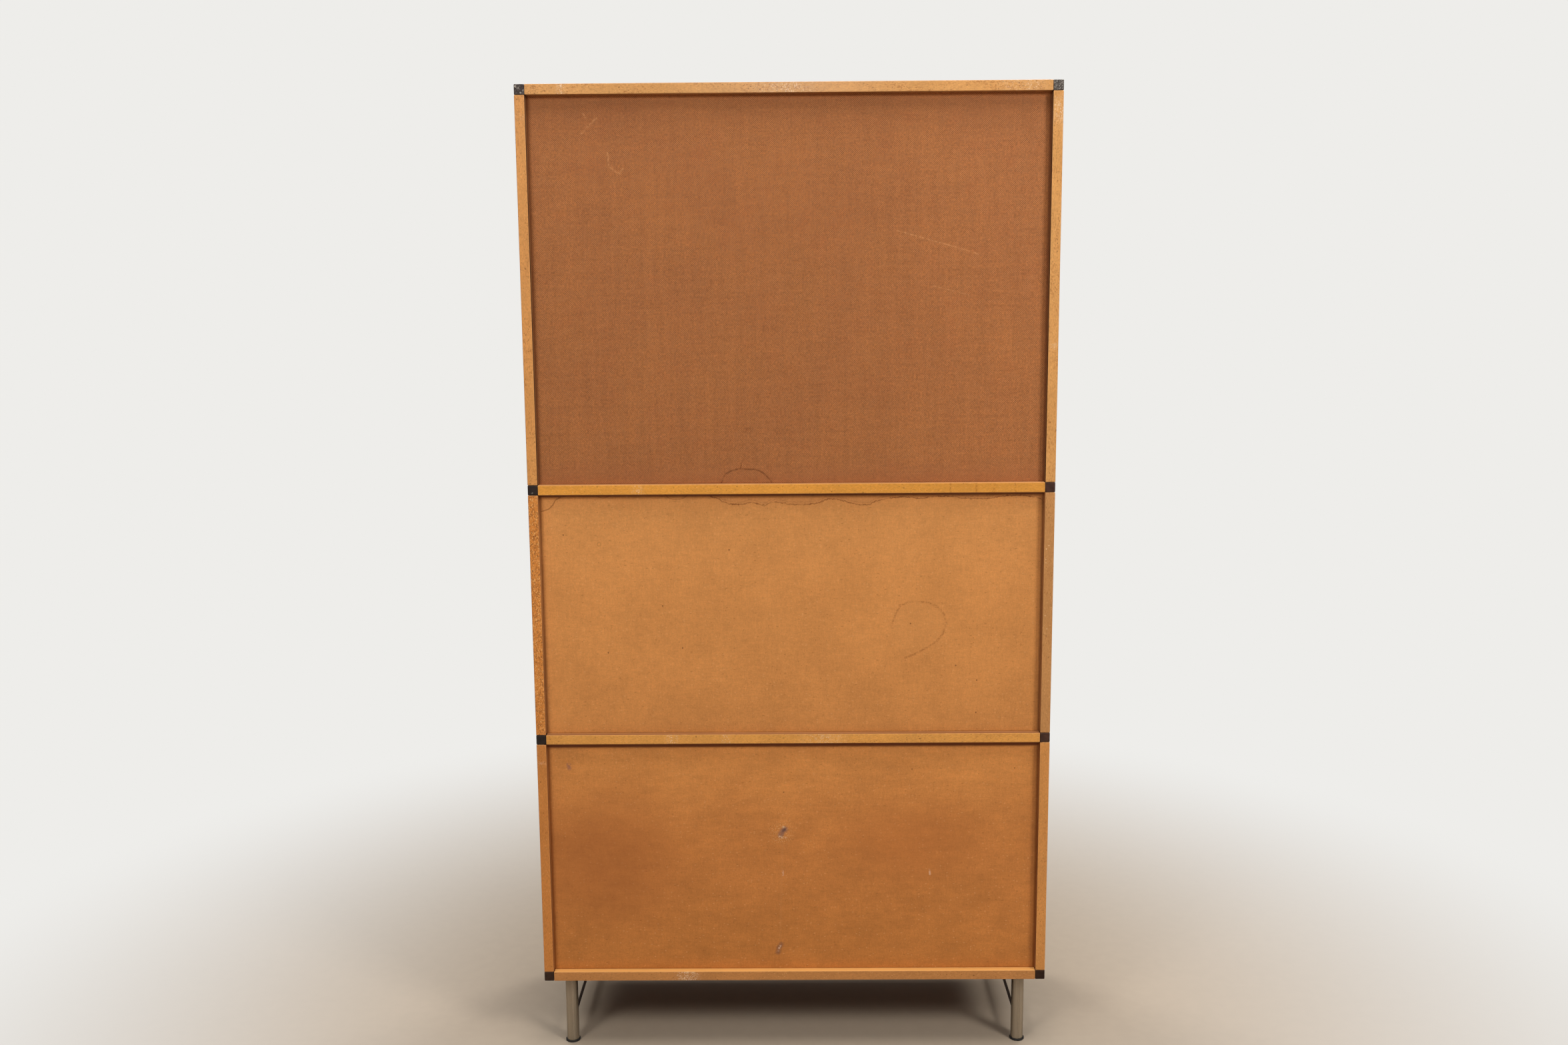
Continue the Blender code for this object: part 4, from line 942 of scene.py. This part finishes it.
def plate_screws():
    """Four pan-headed screws in each plate on top of the legs, seen from below."""
    steel = screw_steel()
    for hand in ("left", "right"):
        low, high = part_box("leg_frame_" + hand)
        middle = (low[0] + high[0]) / 2
        places = [
            Vector((middle + across * PLATE_SCREW, deep + along * PLATE_SCREW, high[2] - PLATE_THICK))
            for deep in (low[1] + PLATE_HALF, high[1] - PLATE_HALF)
            for across in (-1, 1)
            for along in (-1, 1)
        ]
        screws(f"leg_plate_{hand}_screws", places, (0, 0, -1), PLATE_HEAD, steel, "carcass")


# Camera, floor and light


def photo_camera():
    """The camera behind the cabinet; its turns were fitted with x and y the other way round."""
    turn = Matrix.Rotation(radians(ROLL), 3, "Y") @ Matrix.Rotation(radians(PITCH), 3, "X")
    turn = turn @ Matrix.Rotation(radians(YAW), 3, "Z")
    right, ahead, up = (Vector((-axis[0], -axis[1], axis[2])) for axis in turn.col)
    view = Matrix((right, up, -ahead)).transposed()
    data = bpy.data.cameras.new("photo_camera")
    data.sensor_fit = "HORIZONTAL"
    data.sensor_width = SENSOR
    data.lens = SENSOR * FOCAL / PICTURE_WIDE
    camera = bpy.data.objects.new("photo_camera", data)
    camera.matrix_world = Matrix.Translation(EYE) @ view.to_4x4()
    bpy.context.scene.collection.objects.link(camera)
    bpy.context.scene.camera = camera


def combine(tree, kind, *values):
    """A math node over linked values."""
    node = tree.nodes.new("ShaderNodeMath")
    node.operation = kind
    for socket, value in zip(node.inputs, values):
        tree.links.new(value, socket)
    return node.outputs[0]


def seen(tree):
    """One on rays that show the surroundings: from the camera, off gloss and through glass."""
    path = tree.nodes.new("ShaderNodeLightPath")
    total = path.outputs["Is Camera Ray"]
    for name in ("Is Glossy Ray", "Is Transmission Ray"):
        total = combine(tree, "MAXIMUM", total, path.outputs[name])
    return total


def choose(tree, share, first, second, output):
    """Shows the first shader, or the second by share, on the output node."""
    choice = tree.nodes.new("ShaderNodeMixShader")
    for socket, value in zip(choice.inputs, (share, first, second)):
        tree.links.new(value, socket)
    tree.links.new(choice.outputs[0], tree.nodes[output].inputs["Surface"])


def ramp(tree, value, start, end, low, high):
    """A soft step from low, at start, to high, at end."""
    node = tree.nodes.new("ShaderNodeMapRange")
    node.interpolation_type = "SMOOTHSTEP"
    tree.links.new(value, node.inputs["Value"])
    for number, limit in enumerate((start, end, low, high), 1):
        node.inputs[number].default_value = limit
    return node.outputs[0]


def room(tree, way):
    """How bright the backdrop is that way: even to the camera, with dim sides and front in the gloss."""
    parts = tree.nodes.new("ShaderNodeSeparateXYZ")
    tree.links.new(way, parts.inputs[0])
    across = combine(tree, "ABSOLUTE", parts.outputs["X"])
    sides = ramp(tree, across, SIDES_CLEAR, SIDES_DIM, 1.0, SIDES_LEFT)
    front = ramp(tree, parts.outputs["Y"], FRONT_DIM, FRONT_CLEAR, FRONT_LEFT, 1.0)
    path = tree.nodes.new("ShaderNodeLightPath")
    strength = tree.nodes.new("ShaderNodeMix")
    tree.links.new(path.outputs["Is Glossy Ray"], strength.inputs["Factor"])
    strength.inputs["A"].default_value = 1.0
    tree.links.new(combine(tree, "MULTIPLY", sides, front), strength.inputs["B"])
    return strength.outputs["Result"]


def surroundings():
    """The backdrop as the camera sees it, soft light from above, and the same room in the gloss."""
    world = bpy.data.worlds.new("studio")
    bpy.context.scene.world = world
    world.use_nodes = True
    tree = world.node_tree
    shown = tree.nodes["Background"]
    shown.inputs["Color"].default_value = tint(*BACKDROP)
    lit = tree.nodes.new("ShaderNodeBackground")
    lit.inputs["Color"].default_value = SKY_TINT
    way = tree.nodes.new("ShaderNodeTexCoord").outputs["Generated"]
    height = tree.nodes.new("ShaderNodeSeparateXYZ")
    tree.links.new(way, height.inputs[0])
    glow = ramp(tree, height.outputs["Z"], SKY_DARK, SKY_CLEAR, 0.0, AMBIENT)
    tree.links.new(glow, lit.inputs["Strength"])
    tree.links.new(room(tree, way), shown.inputs["Strength"])
    choose(tree, seen(tree), lit.outputs[0], shown.outputs[0], "World Output")


def pale_floor():
    """A plain round floor that runs out into the backdrop."""
    skin = Finish("pale_floor")
    grain = skin.noise(0.03, detail=3.0)
    colour = skin.light(skin.step(grain, 0.3, 0.7), tint(*FLOOR), 0.985, 1.015)
    skin.paint(colour, 0.7)
    glow = skin.tree.nodes.new("ShaderNodeEmission")
    glow.inputs["Color"].default_value = tint(*BACKDROP)
    way = skin.vector("NORMALIZE", skin.place).outputs[0]
    skin.tree.links.new(room(skin.tree, way), glow.inputs["Strength"])
    away = skin.vector("LENGTH", skin.place).outputs[1]
    share = skin.product(skin.step(away, FLOOR_CLEAR, FLOOR_GONE), seen(skin.tree))
    choose(skin.tree, share, skin.shader.outputs[0], glow.outputs[0], "Material Output")
    mesh = bpy.data.meshes.new("floor")
    shape = bmesh.new()
    bmesh.ops.create_circle(shape, cap_ends=True, radius=FLOOR_RADIUS, segments=FLOOR_SIDES)
    shape.to_mesh(mesh)
    shape.free()
    mesh.materials.append(skin.material)
    floor = bpy.data.objects.new("floor", mesh)
    bpy.context.scene.collection.objects.link(floor)


def lamp(name, azimuth, elevation, distance, side, power):
    """A square, soft, slightly warm light that looks at the cabinet. Azimuth 0 is at the back, +Y."""
    data = bpy.data.lights.new(name, "AREA")
    data.size = side
    data.energy = power
    data.color = LAMP_TINT
    turn = radians(azimuth)
    rise = radians(elevation)
    way = Vector((sin(turn) * cos(rise), cos(turn) * cos(rise), sin(rise)))
    place = Vector((0.0, 0.0, LIGHT_AIM)) + way * distance
    holder = bpy.data.objects.new(name, data)
    holder.matrix_world = Matrix.Translation(place) @ way.to_track_quat("Z", "Y").to_matrix().to_4x4()
    bpy.context.scene.collection.objects.link(holder)


bpy.context.scene.view_settings.view_transform = "Standard"
photo_camera()
surroundings()
pale_floor()
for name, row in LAMPS.items():
    lamp(name, *row)
finishes()
